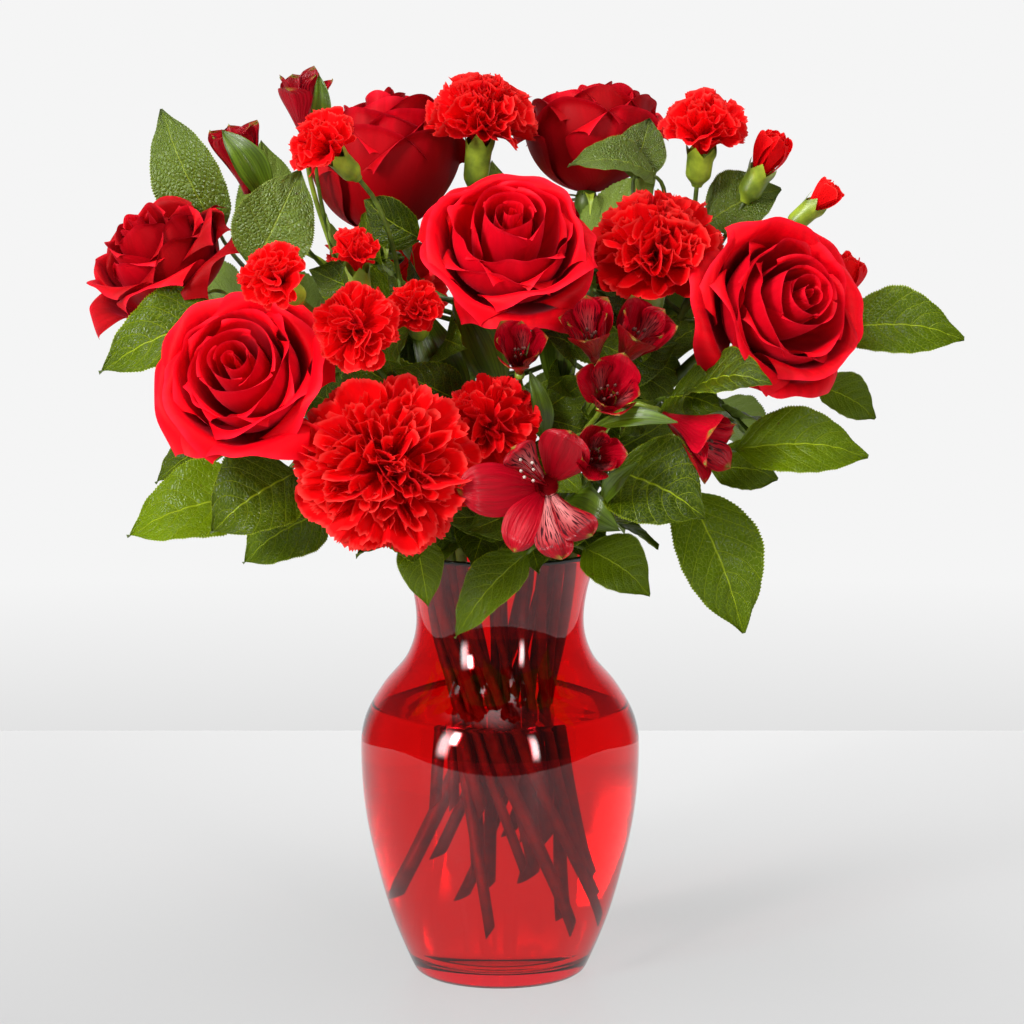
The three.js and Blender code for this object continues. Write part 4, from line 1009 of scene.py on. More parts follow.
# The waist is where the vase is narrowest. Above it the stems point away from the height FAN_Z on
# the axis. Below it they run towards feet that lie further round and further out, and each is cut
# at its own share of the way.
GAP = 0.0003
WAIST_Z = 0.168
WAIST_ROOM = 0.031
RIM_ROOM = 0.040
FAN_Z = 0.112
STEM_SPACING = 0.0092
SPACING_ROUNDS = 400
FOOT_Z = 0.024
FOOT_TURN = math.radians(105)
FOOT_SPREAD = 1.42
STEM_CUTS = [0.97, 0.70, 0.84, 0.58, 0.76, 0.50, 0.90]
STEM_SLANT = 1.3
# at: where a stem forks; carries: how the names of its blooms start.
Fork = namedtuple("Fork", "name at carries leaves")
# up: the way a leaf's upper side looks; tone: how light it is, partly its own green and partly
# painted light and painted shade.
Leaf = namedtuple("Leaf", "base tip width up tone", defaults=[0.5])
SPRAY_STEMS = [
    Fork("spray_stem_left", (-0.036, -0.036, 0.268), ("spray_left",), []),
    Fork("spray_stem_front", (-0.003, -0.050, 0.240), ("spray_front",), []),
    Fork("spray_stem_right", (0.088, 0.010, 0.318), ("spray_right", "bud_right"), []),
]
# The alstroemeria stems carry narrow, twisted leaves of their own below the flowers.
LILY_STEMS = [
    Fork(
        "lily_stem_top", (-0.076, 0.030, 0.330), ("lily_top",),
        [
            Leaf((-0.085, 0.000, 0.394), (-0.082, -0.005, 0.422), 0.010, (0.4, -0.9, 0.0)),
            Leaf((-0.106, -0.012, 0.366), (-0.126, -0.014, 0.398), 0.016, (0.3, -0.9, 0.2)),
        ],
    ),
    Fork(
        "lily_stem_mid", (0.026, -0.046, 0.256), ("lily_mid",),
        [
            Leaf((-0.016, -0.050, 0.282), (-0.037, -0.058, 0.320), 0.021, (-0.2, -1.0, 0.0)),
            Leaf((0.000, -0.050, 0.282), (-0.020, -0.054, 0.326), 0.021, (0.3, -1.0, 0.0)),
            Leaf((0.026, -0.054, 0.284), (0.022, -0.048, 0.326), 0.017, (0.2, -1.0, 0.0)),
            Leaf((0.020, -0.074, 0.264), (0.014, -0.088, 0.296), 0.010, (0.2, -0.9, 0.4)),
            Leaf((0.040, -0.100, 0.271), (0.077, -0.117, 0.279), 0.011, (0.0, -0.7, 0.7)),
        ],
    ),
    Fork(
        "lily_stem_low", (0.032, -0.052, 0.222), ("lily_low",),
        [
            Leaf((0.030, -0.078, 0.236), (0.051, -0.102, 0.229), 0.020, (-0.3, -0.8, 0.4)),
            Leaf((0.046, -0.094, 0.238), (0.059, -0.110, 0.258), 0.010, (-0.5, -0.8, 0.2)),
        ],
    ),
]
# Salal: stiff branches with broad, leathery, finely toothed leaves. `line` is where a branch
# goes above the rim.
Sprig = namedtuple("Sprig", "name line leaves")
SALAL = [
    Sprig(
        "leaves_top_left", [(-0.060, 0.000, 0.262), (-0.100, 0.000, 0.318)],
        [
            Leaf((-0.130, 0.022, 0.345), (-0.158, 0.030, 0.404), 0.034, (-0.3, -0.9, 0.2), 0.62),
            Leaf((-0.112, -0.036, 0.336), (-0.090, -0.030, 0.381), 0.037, (0.1, -1.0, 0.1), 0.66),
            Leaf((-0.034, -0.030, 0.292), (-0.050, -0.032, 0.324), 0.024, (0.1, -1.0, 0.1)),
        ],
    ),
    Sprig(
        "leaves_left", [(-0.062, -0.020, 0.240), (-0.092, -0.022, 0.256)],
        [
            Leaf((-0.122, -0.042, 0.314), (-0.181, -0.054, 0.292), 0.040, (-0.1, -0.8, 0.6), 0.36),
            Leaf((-0.112, -0.024, 0.230), (-0.172, -0.028, 0.213), 0.040, (-0.1, -0.8, 0.6), 0.95),
            Leaf((-0.124, 0.002, 0.254), (-0.160, -0.002, 0.232), 0.024, (-0.5, -0.7, 0.5), 0.25),
        ],
    ),
    Sprig(
        "leaves_front_left", [(-0.044, -0.034, 0.224), (-0.068, -0.040, 0.234)],
        [
            Leaf((-0.092, -0.060, 0.246), (-0.130, -0.074, 0.222), 0.044, (-0.2, -0.9, 0.4), 0.3),
            Leaf((-0.078, -0.040, 0.226), (-0.118, -0.044, 0.203), 0.036, (0.0, -0.8, 0.6), 0.45),
            Leaf((-0.038, -0.058, 0.216), (-0.032, -0.074, 0.188), 0.021, (0.0, -0.9, 0.4)),
        ],
    ),
    Sprig(
        "leaves_front", [(0.022, -0.044, 0.213)],
        [
            Leaf((0.013, -0.066, 0.211), (-0.020, -0.070, 0.172), 0.025, (-0.5, -0.8, 0.3), 0.42),
            Leaf((0.038, -0.062, 0.212), (0.068, -0.074, 0.194), 0.030, (0.1, -0.8, 0.6)),
        ],
    ),
    Sprig(
        "leaves_front_right", [(0.048, -0.034, 0.222), (0.072, -0.044, 0.236)],
        [
            Leaf((0.050, -0.078, 0.250), (0.091, -0.100, 0.234), 0.047, (-0.1, -0.8, 0.6), 0.20),
            Leaf((0.084, -0.060, 0.238), (0.110, -0.068, 0.174), 0.041, (0.3, -0.9, 0.2), 0.55),
            Leaf((0.106, -0.062, 0.257), (0.167, -0.058, 0.255), 0.034, (0.0, -0.8, 0.6), 0.62),
            Leaf((0.096, -0.032, 0.244), (0.128, -0.030, 0.240), 0.026, (0.1, -0.8, 0.6), 0.5),
        ],
    ),
    Sprig(
        "leaves_right", [(0.076, -0.006, 0.262), (0.104, -0.008, 0.288)],
        [
            Leaf((0.084, -0.071, 0.284), (0.119, -0.097, 0.294), 0.033, (0.1, -0.6, 0.8), 0.12),
            Leaf((0.076, -0.058, 0.280), (0.098, -0.084, 0.280), 0.030, (-0.3, -0.8, 0.6), 0.22),
            Leaf((0.146, -0.008, 0.279), (0.174, -0.008, 0.264), 0.024, (0.2, -0.8, 0.6)),
            Leaf((0.156, -0.014, 0.306), (0.213, -0.020, 0.304), 0.036, (0.1, -0.8, 0.6), 0.46),
        ],
    ),
    Sprig(
        "leaves_top_right", [(0.046, 0.020, 0.290), (0.074, 0.022, 0.340)],
        [
            Leaf((0.072, 0.014, 0.374), (0.032, -0.008, 0.382), 0.028, (0.0, -0.6, 0.8), 0.6),
            Leaf((0.062, 0.022, 0.372), (0.070, 0.028, 0.400), 0.024, (0.0, -1.0, 0.2)),
            Leaf((0.096, 0.014, 0.352), (0.130, 0.014, 0.369), 0.032, (0.1, -0.8, 0.6)),
            Leaf((0.046, -0.028, 0.294), (0.062, -0.030, 0.326), 0.026, (-0.2, -1.0, 0.2), 0.22),
        ],
    ),
    Sprig(
        "leaves_back_left", [(-0.044, 0.040, 0.250), (-0.084, 0.060, 0.290)],
        [
            Leaf((-0.110, 0.060, 0.300), (-0.168, 0.072, 0.318), 0.038, (-0.2, 0.7, 0.7)),
            Leaf((-0.092, 0.072, 0.262), (-0.140, 0.096, 0.234), 0.038, (-0.3, 0.7, 0.6)),
            Leaf((-0.064, 0.074, 0.236), (-0.080, 0.106, 0.192), 0.036, (-0.2, 0.9, 0.4)),
            Leaf((-0.106, 0.066, 0.330), (-0.114, 0.076, 0.386), 0.034, (-0.1, 1.0, 0.1)),
        ],
    ),
    Sprig(
        "leaves_back_right", [(0.040, 0.044, 0.244), (0.070, 0.066, 0.270)],
        [
            Leaf((0.112, 0.062, 0.300), (0.166, 0.074, 0.312), 0.038, (0.2, 0.7, 0.7)),
            Leaf((0.092, 0.078, 0.254), (0.136, 0.098, 0.226), 0.038, (0.3, 0.7, 0.6)),
            Leaf((0.022, 0.076, 0.226), (0.016, 0.104, 0.184), 0.036, (0.0, 0.9, 0.4)),
            Leaf((0.000, 0.092, 0.320), (-0.004, 0.104, 0.374), 0.034, (0.0, 1.0, 0.1)),
        ],
    ),
]


def places_at_waist(targets):
    """Where each stem passes the waist: on the way to its target, but beside its neighbours."""
    places = [Vector(t[:2]) * (WAIST_Z - FAN_Z) / (t[2] - FAN_Z) for t in targets]
    for _ in range(SPACING_ROUNDS):
        for i, p in enumerate(places):
            for q in places[i + 1 :]:
                apart = q - p
                near = STEM_SPACING - apart.length
                if near > 0:
                    apart.length = near / 2
                    q += apart
                    p -= apart
        for p in places:
            if p.length > WAIST_ROOM:
                p.length = WAIST_ROOM
    return places


def held_in(point, room):
    """A point no further than room from the axis."""
    flat = Vector(point[:2])
    if flat.length > room:
        flat.length = room
    return flat


def bent(a, b, c, steps):
    """A bend from a to c, drawn towards b on the way."""
    t = np.linspace(0, 1, steps)[:, None]
    return a * (1 - t) ** 2 + 2 * b * t * (1 - t) + c * t**2


def swept(controls, steps):
    """A line that leaves its first control point towards the second and ends from the third."""
    return bezier(*[np.array(c) for c in controls], np.linspace(0, 1, steps)[:, None])


def stem_line(place, order, end, direction):
    """The line of a stem: from its foot, past the waist and inside the rim, to its end."""
    turn = complex(math.cos(FOOT_TURN), math.sin(FOOT_TURN)) * complex(*place) * FOOT_SPREAD
    waist = Vector((*place, WAIST_Z))
    foot = waist.lerp(Vector((turn.real, turn.imag, FOOT_Z)), STEM_CUTS[order % len(STEM_CUTS)])
    at_rim = held_in(Vector(place).lerp(held_in(end, RIM_ROOM), 0.45), RIM_ROOM)
    rim = Vector((*at_rim, VASE_HEIGHT))
    rise = (rim - waist).normalized()
    reach = (end - rim).length
    above = swept([rim, rim + rise * 0.3 * reach, end - direction * 0.35 * reach, end], steps=17)
    before, after = np.array(waist.lerp(foot, 0.14)), np.array(waist.lerp(rim, 0.5))
    round_waist = bent(before, np.array(waist), after, steps=6)
    below = np.array(foot) + (before - np.array(foot)) * np.linspace(0, 1, 7)[:-1, None]
    return np.vstack([below, round_waist, above])


def seat_of(bloom):
    """Where the stem of a bloom ends, just clear of the bloom."""
    return foot_of(bloom) - facing_of(bloom) * GAP * (1.1 + bloom.depth / bloom.radius)


single = [rose.bloom for rose in ROSES] + CARNATIONS
forks = SPRAY_STEMS + LILY_STEMS
targets = [foot_of(b) for b in single] + [f.at for f in forks] + [s.line[0] for s in SALAL]
waist_places = places_at_waist([Vector(t) for t in targets])
stem_lines = {}


def grow_stem(name, end, direction):
    """The line of the next stem. They grow in the order of their places at the waist."""
    order = len(stem_lines)
    stem_lines[name] = stem_line(waist_places[order], order, end, direction)
    return stem_lines[name]


STEM_GREEN = (0.11, 0.17, 0.012, 1)
STEM_DARK = (0.035, 0.060, 0.004, 1)
CUP_GREEN = (0.34, 0.45, 0.03, 1)

skin_spots, spots_given, spots_results = new_group("skin_spots", ["Scale"], ["Mask"])
spots_at = add_node(skin_spots, "TexCoord").outputs["Object"]
spots = add_node(skin_spots, "TexNoise", Vector=spots_at, Scale=spots_given["Scale"], Detail=4.0)
skin_spots.links.new(spots.outputs[0], spots_results["Mask"])


def green_skin(name, light, dark, scale, roughness):
    """The mottled green skin of a stem or a calyx."""
    material, tree, shader = new_material(name)
    mask = place_group(tree, skin_spots, Scale=scale)[0]
    share = ramp(tree, mask, 0.35, 0.65)
    tree.links.new(blend(tree, share, dark, light), shader.inputs["Base Color"])
    add_relief(tree, shader, mask, strength=0.2, distance=0.0005)
    shader.inputs["Roughness"].default_value = roughness
    return material


stem_skin = green_skin("stem_skin", STEM_GREEN, STEM_DARK, scale=160.0, roughness=0.45)
cup_skin = green_skin("calyx_skin", CUP_GREEN, STEM_GREEN, scale=110.0, roughness=0.38)

BLADE_COLUMNS = 16
RIB_CLIMB = 0.30  # how far a side rib runs up the blade on its way to the edge
RIB_BEND = 1.3


def leaf_blade(leaf, stations, teeth, fold, arch, curl, rows, ribs=0):
    """A leaf blade from its base to its tip: folded along the midrib, arched, and toothed.
    It puffs up a little between its ribs."""
    start = np.array(leaf.base)
    along = np.array(leaf.tip) - start
    length = np.linalg.norm(along)
    along /= length
    up = np.array(leaf.up, float)
    up -= along * (up @ along)
    up /= np.linalg.norm(up)
    across = np.cross(along, up)

    def place(u, v):
        tooth = 1 + teeth * (np.round(v * rows).astype(int) % 2) * (np.abs(u) > 0.99)
        half = leaf.width / 2 * blade_width(v, stations) * tooth
        side = half * u
        lift = fold * np.abs(side) + 0.05 * leaf.width * u * np.cos(math.pi * v)
        lift = lift + arch * length * np.sin(math.pi * v)
        lift = lift - curl * leaf.width * step_between(0.55, 1, v) ** 2
        lift = lift + 0.038 * leaf.width * np.sin(11 * v + 4 * u) * u * u
        row = v - RIB_CLIMB * np.abs(u) ** RIB_BEND
        lift = lift + 0.022 * leaf.width * np.abs(np.sin(math.pi * ribs * row))
        at = [start[i] + along[i] * length * v + across[i] * side + up[i] * lift for i in range(3)]
        return tuple(at)

    return sheet(place, BLADE_COLUMNS, rows)


def leaf_stalk(leaf, origin, radius):
    """The stalk that joins a leaf's base to its stem."""
    start, origin = np.array(leaf.base), np.array(origin)
    along = np.array(leaf.tip) - start
    along /= np.linalg.norm(along)
    before = start - along * 0.3 * np.linalg.norm(start - origin)
    line = bent(origin, before, start + along * 0.002, steps=9)
    return tube(line, np.linspace(1.3, 0.75, len(line)) * radius, sides=7)


def below_end(line, distance):
    """The point that far back along a line from its end."""
    steps = np.linalg.norm(np.diff(line, axis=0), axis=1)
    gone = np.cumsum(steps[::-1])
    k = int(np.searchsorted(gone, distance))
    a, b = line[-1 - k], line[-2 - k]
    rest = distance - (gone[k - 1] if k else 0)
    return a + (b - a) * rest / steps[-1 - k]


# ---------------------------------------------------------------- rose stems
# Each rose sits on a round green hip at the end of its stem, with five narrow sepals that bend
# away under the petals. The stem, the hip and the sepals grew as one piece.
ROSE_STALK, ROSE_HIP, ROSE_HIP_LENGTH = 0.0027, 0.0055, 0.010
# How far down the hip, and its share of the radius there.
HIP_SHAPE = [(0.85, 0.62), (0.6, 0.92), (0.35, 1.0), (0.1, 0.95), (-0.15, 0.8)]
SEPALS = 5
SEPAL_LENGTH, SEPAL_WIDTH = 0.021, 0.0055
SEPAL_STATIONS = [(0, 0.7), (0.25, 1.0), (0.6, 0.6), (1, 0.0)]

for rose in ROSES:
    bloom = rose.bloom
    facing = facing_of(bloom)
    top = seat_of(bloom)
    line = grow_stem(bloom.name, top - facing * ROSE_HIP_LENGTH, facing)
    hip = [top - facing * ROSE_HIP_LENGTH * down for down, _ in HIP_SHAPE]
    widths = [ROSE_STALK] * len(line) + [ROSE_HIP * wide for _, wide in HIP_SHAPE]
    sheets = [(*tube([*line, *hip], widths, sides=14, slant=STEM_SLANT), 0, PLAIN)]
    side = facing.orthogonal().normalized()
    other = facing.cross(side)
    for k in range(SEPALS):
        angle = k * math.tau / SEPALS + bloom.turn
        out = side * math.cos(angle) + other * math.sin(angle)
        base = top - facing * 0.0015 + out * ROSE_HIP * 0.6
        tip = base + out * SEPAL_LENGTH * 0.8 - facing * SEPAL_LENGTH * 0.5
        sepal = Leaf(base, tip, SEPAL_WIDTH, facing)
        blade = leaf_blade(sepal, SEPAL_STATIONS, teeth=0.0, fold=0.3, arch=0.22, curl=0.5, rows=14)
        sheets.append((*blade, 1, PLAIN))
    add_piece(bloom.name + "_stalk", sheets, [stem_skin, cup_skin], [bloom.name + "_stem"])

# ---------------------------------------------------------------- carnation stems
# A smooth green calyx, a tube with five points, holds the petals by their claws at the end of a
# thin stem. The calyx and the stem grew as one piece.
CARNATION_STALK, CALYX_LENGTH, CALYX_SHARE = 0.0022, 0.024, 0.21
CALYX_GRID = (40, 14)


def calyx(top, facing, radius, length, turn):
    """A calyx: a tube that swells towards its mouth and ends in five points."""
    side = facing.orthogonal().normalized()
    axes = np.array([side, facing.cross(side), facing])

    def place(u, v):
        wide = radius * (0.42 + 0.58 * step_between(0.0, 0.35, v)) * (1 + 0.10 * v)
        point = np.abs(np.mod(2.5 * (u + turn), 1) - 0.5) * 2
        up = length * (v - 1) + 0.30 * length * point * step_between(0.7, 1, v)
        wide = wide * (1 + 0.16 * step_between(0.8, 1, v))
        x, y = wide * np.cos(math.pi * u), wide * np.sin(math.pi * u)
        points = np.stack([x, y, up], -1) @ axes + np.array(top)
        return points[..., 0], points[..., 1], points[..., 2]

    return sheet(place, *CALYX_GRID)


for bloom in CARNATIONS:
    facing = facing_of(bloom)
    top = seat_of(bloom)
    line = grow_stem(bloom.name, top - facing * CALYX_LENGTH, facing)
    ends = [top - facing * CALYX_LENGTH * s for s in (0.95, 0.9)]
    widths = [CARNATION_STALK] * len(line) + [CARNATION_STALK * 1.5] * 2
    mouth = top + facing * 0.002
    sheets = [
        (*tube([*line, *ends], widths, sides=12, slant=STEM_SLANT), 0, PLAIN),
        (*calyx(mouth, facing, CALYX_SHARE * bloom.radius, CALYX_LENGTH, bloom.turn), 1, PLAIN),
    ]
    add_piece(bloom.name + "_stalk", sheets, [stem_skin, cup_skin], [bloom.name + "_stem"])

# ---------------------------------------------------------------- branching stems
# The spray carnations and the alstroemerias fork above the rim, with one thin branch for each
# bloom. A small calyx holds each spray carnation; an alstroemeria sits on a short green ovary.
SPRAY_SHAPE = dict(stalk=0.0019, branch=0.0011, cup_length=0.016)
LILY_SHAPE = dict(stalk=0.0023, branch=0.0012, cup_length=0.006)
SPRAY_CALYX_SHARE, SPRAY_CALYX_LEAST, BUD_CALYX_SHARE = 0.26, 0.0046, 0.60
OVARY_RADIUS = 0.0024
FIRST_BRANCH, BRANCH_STEP = 0.002, 0.004
# How far up the ovary, and its share of the radius there.
OVARY_SHAPE = [(0.25, 0.7), (0.55, 1.0), (0.85, 0.9)]
LILY_LEAF_STALK = 0.0009
LILY_LEAF_STATIONS = [(0, 0.30), (0.2, 0.75), (0.5, 1.0), (0.8, 0.62), (1, 0.0)]
LILY_LEAF_GREEN = (0.105, 0.175, 0.006, 1)
LILY_LEAF_DARK = (0.026, 0.048, 0.001, 1)

blade_lines = lines_group("blade_lines", stretch=1.2, detail=2.0)
lily_leaf, tree, shader = new_material("lily_leaf")
mask = place_group(tree, blade_lines, Lines=11.0)[0]
lily_leaf_colour = blend(tree, ramp(tree, mask, 0.3, 0.7), LILY_LEAF_DARK, LILY_LEAF_GREEN)
tree.links.new(lily_leaf_colour, shader.inputs["Base Color"])
add_relief(tree, shader, mask, strength=0.4, distance=0.0008)
shader.inputs["Roughness"].default_value = 0.32

small_blooms = SPRAY_CARNATIONS + SPRAY_BUDS + [lily.bloom for lily in ALSTROEMERIAS]
for fork in forks:
    shape = LILY_SHAPE if fork in LILY_STEMS else SPRAY_SHAPE
    at = Vector(fork.at)
    direction = (at - Vector((0, 0, FAN_Z))).normalized()
    line = grow_stem(fork.name, at, direction)
    sheets = [(*tube(line, shape["stalk"], sides=12, slant=STEM_SLANT), 0, PLAIN)]
    blooms = [b for b in small_blooms if b.name.startswith(fork.carries)]
    for k, bloom in enumerate(blooms):
        facing = facing_of(bloom)
        top = seat_of(bloom)
        neck = top - facing * shape["cup_length"]
        start = Vector(below_end(line, FIRST_BRANCH + BRANCH_STEP * k))
        span = neck - start
        controls = [
            start,
            start + span * 0.2 + direction * 0.15 * span.length,
            neck - facing * 0.3 * span.length,
            neck,
        ]
        branch = swept(controls, steps=13)
        if shape is SPRAY_SHAPE:
            tip = [neck + facing * shape["cup_length"] * 0.15]
            sheets.append((*tube([*branch, *tip], shape["branch"], sides=9), 0, PLAIN))
            wide = max(SPRAY_CALYX_LEAST, SPRAY_CALYX_SHARE * bloom.radius)
            if bloom in SPRAY_BUDS:
                wide = BUD_CALYX_SHARE * bloom.radius
            cup = calyx(top + facing * 0.0015, facing, wide, shape["cup_length"], bloom.turn)
            sheets.append((*cup, 1, PLAIN))
        else:
            ovary = [neck + (top - neck) * up for up, _ in OVARY_SHAPE]
            widths = [shape["branch"]] * len(branch) + [OVARY_RADIUS * wide for _, wide in OVARY_SHAPE]
            sheets.append((*tube([*branch, *ovary], widths, sides=9), 1, PLAIN))
    for k, leaf in enumerate(fork.leaves):
        origin = below_end(line, BRANCH_STEP * (len(blooms) + k))
        sheets.append((*leaf_stalk(leaf, origin, LILY_LEAF_STALK), 0, PLAIN))
        blade = leaf_blade(
            leaf, LILY_LEAF_STATIONS, teeth=0.0, fold=0.35, arch=0.10, curl=0.25, rows=28
        )
        sheets.append((*blade, 2, leaf.tone))
    add_piece(fork.name + "_branches", sheets, [stem_skin, cup_skin, lily_leaf], [fork.name])

# ---------------------------------------------------------------- salal
# Broad leathery leaves on short stalks along a stiff branch. They are folded a little at the
# midrib, glossy above and pale beneath, with fine teeth and a net of light veins.
SALAL_STATIONS = [(0, 0.05), (0.16, 0.76), (0.42, 1.0), (0.74, 0.66), (0.9, 0.25), (1, 0.0)]
SALAL_STEM, SALAL_TWIG, SALAL_STALK = 0.002, 0.0015, 0.0011
FIRST_LEAF, LEAF_STEP = 0.002, 0.003
SALAL_CURL = 0.15
SALAL_RIBS = 7
NET_CELLS = (9.5, 30.0)  # across half a leaf and along it
VEINS_DRAWN = {"net": 0.34, "rib": 0.72, "edge": 0.8}  # how strongly, beside the midrib
LEAF_GREEN = (0.120, 0.192, 0.000, 1)
LEAF_DARK = (0.014, 0.028, 0.000, 1)
LEAF_VEIN = (0.33, 0.42, 0.01, 1)
LEAF_SPOT = (0.060, 0.030, 0.004, 1)
LEAF_BACK = (0.18, 0.26, 0.04, 1)

veins, veins_given, veins_results = new_group("leaf_veins", ["Ribs"], ["Mask", "Height", "Quilting"])
leaf_u, leaf_v = own_uv(veins)
leaf_tone = own_tone(veins)
out_from_rib = calc(veins, "ABSOLUTE", leaf_u)
wobble_at = add_node(
    veins, "CombineXYZ",
    _0=leaf_u, _1=calc(veins, "MULTIPLY", leaf_v, 2.0), _2=calc(veins, "MULTIPLY", leaf_tone, 9.0),
)
wobble = add_node(veins, "TexNoise", Vector=wobble_at.outputs[0], Scale=2.2, Detail=1.0).outputs[0]
climb = calc(veins, "MULTIPLY", calc(veins, "POWER", out_from_rib, RIB_BEND), RIB_CLIMB)
row = calc(veins, "SUBTRACT", leaf_v, climb)
row = calc(veins, "ADD", row, calc(veins, "MULTIPLY", calc(veins, "SUBTRACT", wobble, 0.5), 0.04))
from_rib = calc(veins, "PINGPONG", calc(veins, "MULTIPLY", row, veins_given["Ribs"]), 0.5)
rib_line = ramp(veins, from_rib, 0.045, 0.0)
mid_line = ramp(veins, out_from_rib, 0.034, 0.010)
edge_line = ramp(veins, out_from_rib, 0.965, 0.99)
net_at = add_node(
    veins, "CombineXYZ",
    _0=calc(veins, "MULTIPLY", leaf_u, NET_CELLS[0]), _1=calc(veins, "MULTIPLY", leaf_v, NET_CELLS[1]),
    _2=leaf_tone,
)
net = add_node(
    veins, "TexVoronoi", {"feature": "DISTANCE_TO_EDGE"}, Vector=net_at.outputs[0], Scale=1.0
).outputs["Distance"]
drawn = mid_line
for line, share in [
    (ramp(veins, net, 0.09, 0.0), VEINS_DRAWN["net"]),
    (rib_line, VEINS_DRAWN["rib"]),
    (edge_line, VEINS_DRAWN["edge"]),
]:
    drawn = calc(veins, "MAXIMUM", drawn, calc(veins, "MULTIPLY", line, share))
puffed = ramp(veins, net, 0.0, 0.4, "SMOOTHSTEP")
veins.links.new(drawn, veins_results["Mask"])
veins.links.new(calc(veins, "SUBTRACT", 1.0, drawn), veins_results["Height"])
veins.links.new(calc(veins, "SUBTRACT", puffed, rib_line), veins_results["Quilting"])


def salal_skin(name, drawn, quilted, raised, roughness, gloss):
    """A salal leaf: mottled green with a light net of veins and a few brown specks, paler behind."""
    material, tree, shader = new_material(name)
    vein_mask, vein_height, quilting = place_group(tree, veins, Ribs=float(SALAL_RIBS))
    spots = place_group(tree, skin_spots, Scale=45.0)[0]
    specks = place_group(tree, skin_spots, Scale=170.0)[0]
    tone = own_tone(tree)
    # The tone lightens or deepens each leaf: partly its own green, partly painted light and shade.
    light = calc(tree, "ADD", calc(tree, "MULTIPLY", spots, 0.45), calc(tree, "SUBTRACT", tone, 0.2))
    blade_colour = blend(tree, calc(tree, "MINIMUM", light, 1.0), LEAF_DARK, LEAF_GREEN)
    veined = blend(tree, calc(tree, "MULTIPLY", vein_mask, drawn), blade_colour, LEAF_VEIN)
    speck = calc(tree, "MULTIPLY", ramp(tree, specks, 0.71, 0.75), 0.8)
    veined = blend(tree, speck, veined, LEAF_SPOT)
    behind = add_node(tree, "NewGeometry").outputs["Backfacing"]
    leaf_colour = blend(tree, behind, veined, LEAF_BACK)
    tree.links.new(leaf_colour, shader.inputs["Base Color"])
    relief = calc(tree, "ADD", vein_height, calc(tree, "MULTIPLY", quilting, quilted))
    add_relief(tree, shader, relief, strength=raised, distance=0.0010)
    shader.inputs["Roughness"].default_value = roughness
    shader.inputs["Specular IOR Level"].default_value = gloss
    through = add_node(tree, "BsdfTranslucent", Color=leaf_colour)
    mix_shaders(tree, 0.12, shader, through)
    return material


salal_leaf = salal_skin("salal_leaf", drawn=0.75, quilted=0.2, raised=0.5, roughness=0.32, gloss=0.22)
salal_quilted = salal_skin(
    "salal_quilted", drawn=0.5, quilted=0.8, raised=0.6, roughness=0.50, gloss=0.8
)
for sprig in SALAL:
    chance = random.Random(sprig.name)
    joints = [Vector(p) for p in sprig.line]
    direction = (joints[0] - Vector((0, 0, FAN_Z))).normalized()
    lower = grow_stem(sprig.name, joints[0], direction)
    line = np.vstack([lower, *[np.array(j) for j in joints[1:]]])
    stem_lines[sprig.name] = line
    widths = [SALAL_STEM] * len(lower) + [SALAL_TWIG] * (len(joints) - 1)
    sheets = [(*tube(line, widths, sides=12, slant=STEM_SLANT), 0, PLAIN)]
    for k, leaf in enumerate(sprig.leaves):
        base = Vector(leaf.base)
        nearest = min(range(len(joints)), key=lambda n: (joints[n] - base).length)
        upto = line[: len(lower) + nearest]
        origin = below_end(upto, FIRST_LEAF + LEAF_STEP * k)
        sheets.append((*leaf_stalk(leaf, origin, SALAL_STALK), 0, PLAIN))
        blade = leaf_blade(
            leaf, SALAL_STATIONS, teeth=0.042, fold=0.22, arch=0.11,
            curl=chance.uniform(0, SALAL_CURL), rows=96, ribs=SALAL_RIBS,
        )
        sheets.append((*blade, 1, leaf.tone))
    top_skin = salal_quilted if sprig.name.startswith("leaves_top") else salal_leaf
    add_piece(sprig.name + "_sprig", sheets, [stem_skin, top_skin], [sprig.name])

# ---------------------------------------------------------------- the inner leaves
# The branches carry more salal leaves deeper in, which close the bouquet behind and under the
# blooms. They grow from the nearest stem and keep clear of every bloom.
INNER_TRIES = 190
INNER_SEED = 11
INNER_LOW, INNER_HIGH = 0.212, 0.352
INNER_ACROSS, INNER_DEEP = 0.155, 0.125
# The inner leaves take low tones: painted shade deep in the bouquet.
INNER_TONES = (0.08, 0.46)


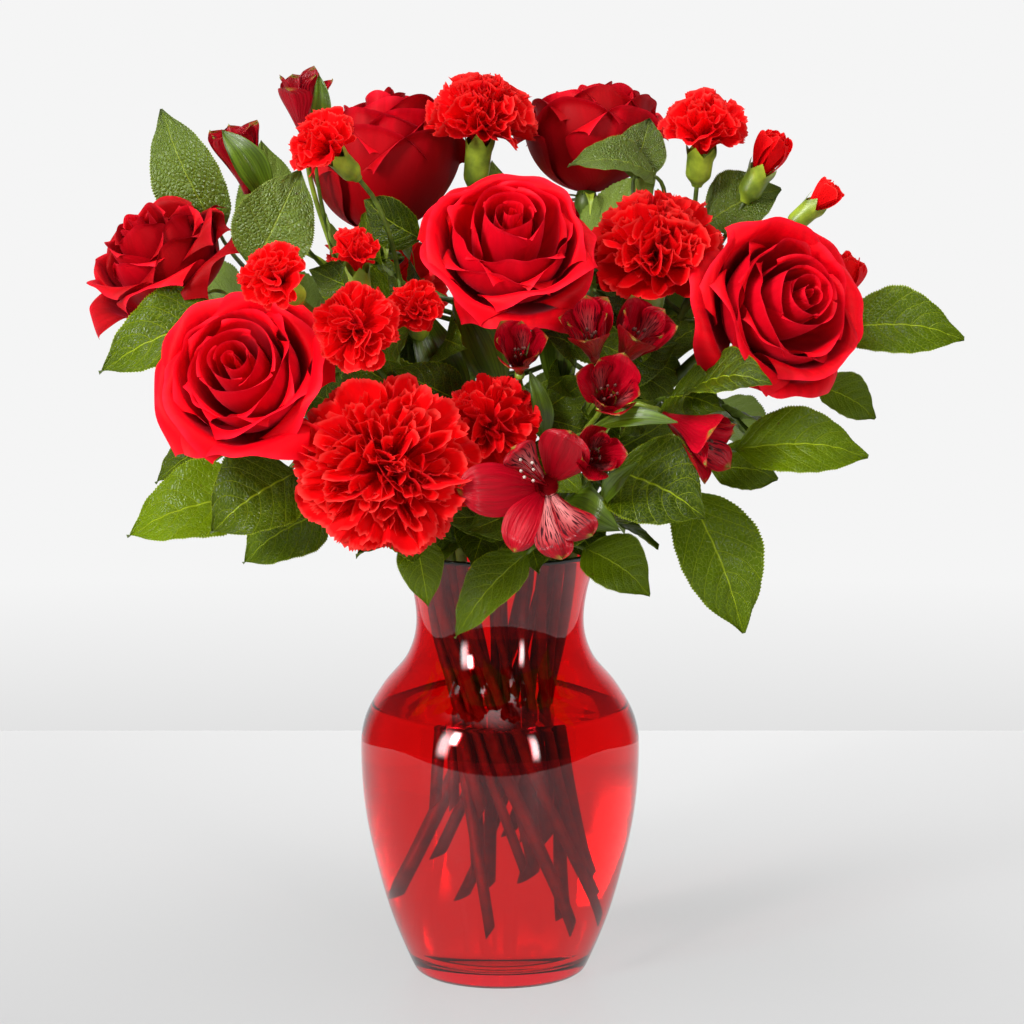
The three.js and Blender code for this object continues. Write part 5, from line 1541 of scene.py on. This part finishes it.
def inner_leaf(k, chance):
    """One leaf inside the bouquet, or nothing where a bloom is in its way."""
    angle = k * GOLDEN_ANGLE + chance.uniform(-0.2, 0.2)
    outwards = Vector((math.cos(angle), math.sin(angle), 0))
    rise = chance.random()
    front = outwards.y < -0.15
    room = 0.028 + 0.070 * math.sin(math.pi * min(1, 0.25 + 0.62 * rise)) * chance.uniform(0.3, 1.0)
    if front:
        room = min(room, 0.056)
    base = outwards * room + Vector((0, 0, INNER_LOW + (INNER_HIGH - INNER_LOW) * rise))
    length = chance.uniform(0.030, 0.044 if front else 0.050)
    swing = Vector((-outwards.y, outwards.x, 0)) * chance.uniform(-0.8, 0.8)
    lift = Vector((0, 0, chance.uniform(-0.4, 0.9)))
    along = (outwards * (0.5 if front else 0.8) + swing + lift).normalized()
    tip = base + along * length
    upright = front or abs(along.z) > 0.5
    up = outwards + Vector((0, 0, 0.3)) if upright else Vector((0, 0, 1)) + outwards * 0.5
    for bloom in single + small_blooms:
        for spot, reach in [(tip, 0.004), ((base + tip) / 2, 0.009), (base, 0.0)]:
            if (spot - Vector(bloom.at)).length < bloom.radius * 1.02 + reach:
                return None
    if abs(tip.x) > INNER_ACROSS or abs(tip.y) > INNER_DEEP or tip.z < VASE_HEIGHT - 0.004:
        return None
    return Leaf(base, tip, length * chance.uniform(0.60, 0.72), up, chance.uniform(*INNER_TONES))


# A few low ones lie over the rim of the vase all round. Their low tones are painted shade under the
# blooms.
RIM_LEAVES = [
    Leaf((-0.022, -0.028, 0.213), (-0.036, -0.066, 0.203), 0.027, (0.0, -0.6, 0.8), 0.30),
    Leaf((-0.006, -0.032, 0.216), (-0.012, -0.068, 0.206), 0.027, (0.1, -0.6, 0.8), 0.16),
    Leaf((0.010, -0.034, 0.214), (0.018, -0.070, 0.203), 0.028, (0.0, -0.6, 0.8), 0.24),
    Leaf((0.026, -0.024, 0.216), (0.046, -0.058, 0.206), 0.028, (0.1, -0.6, 0.8), 0.18),
    Leaf((-0.034, -0.014, 0.212), (-0.066, -0.036, 0.204), 0.027, (-0.3, -0.4, 0.8), 0.34),
    Leaf((0.036, -0.004, 0.212), (0.074, -0.012, 0.206), 0.028, (0.4, 0.0, 0.8), 0.30),
    Leaf((0.030, 0.022, 0.213), (0.060, 0.048, 0.203), 0.028, (0.4, 0.3, 0.8), 0.40),
    Leaf((0.008, 0.034, 0.214), (0.010, 0.072, 0.202), 0.028, (0.0, 0.5, 0.8), 0.30),
    Leaf((-0.018, 0.032, 0.213), (-0.036, 0.066, 0.203), 0.028, (0.0, 0.5, 0.8), 0.42),
    Leaf((-0.036, 0.008, 0.212), (-0.074, 0.016, 0.205), 0.028, (-0.4, 0.0, 0.8), 0.35),
]

chance = random.Random(INNER_SEED)
above_rim = np.vstack([line[line[:, 2] > VASE_HEIGHT + 0.004] for line in stem_lines.values()])
inner_sheets = []
for leaf in RIM_LEAVES + [inner_leaf(k, chance) for k in range(INNER_TRIES)]:
    if leaf is None:
        continue
    lower = above_rim[above_rim[:, 2] < max(leaf.base[2] - 0.008, VASE_HEIGHT + 0.008)]
    origin = lower[np.argmin(np.linalg.norm(lower - np.array(leaf.base), axis=1))]
    inner_sheets.append((*leaf_stalk(leaf, origin, SALAL_STALK), 0, PLAIN))
    blade = leaf_blade(
        leaf, SALAL_STATIONS, teeth=0.045, fold=0.16, arch=0.10,
        curl=chance.uniform(0, SALAL_CURL), rows=42, ribs=SALAL_RIBS,
    )
    inner_sheets.append((*blade, 1, leaf.tone))
add_piece("inner_leaves", inner_sheets, [stem_skin, salal_leaf], [])
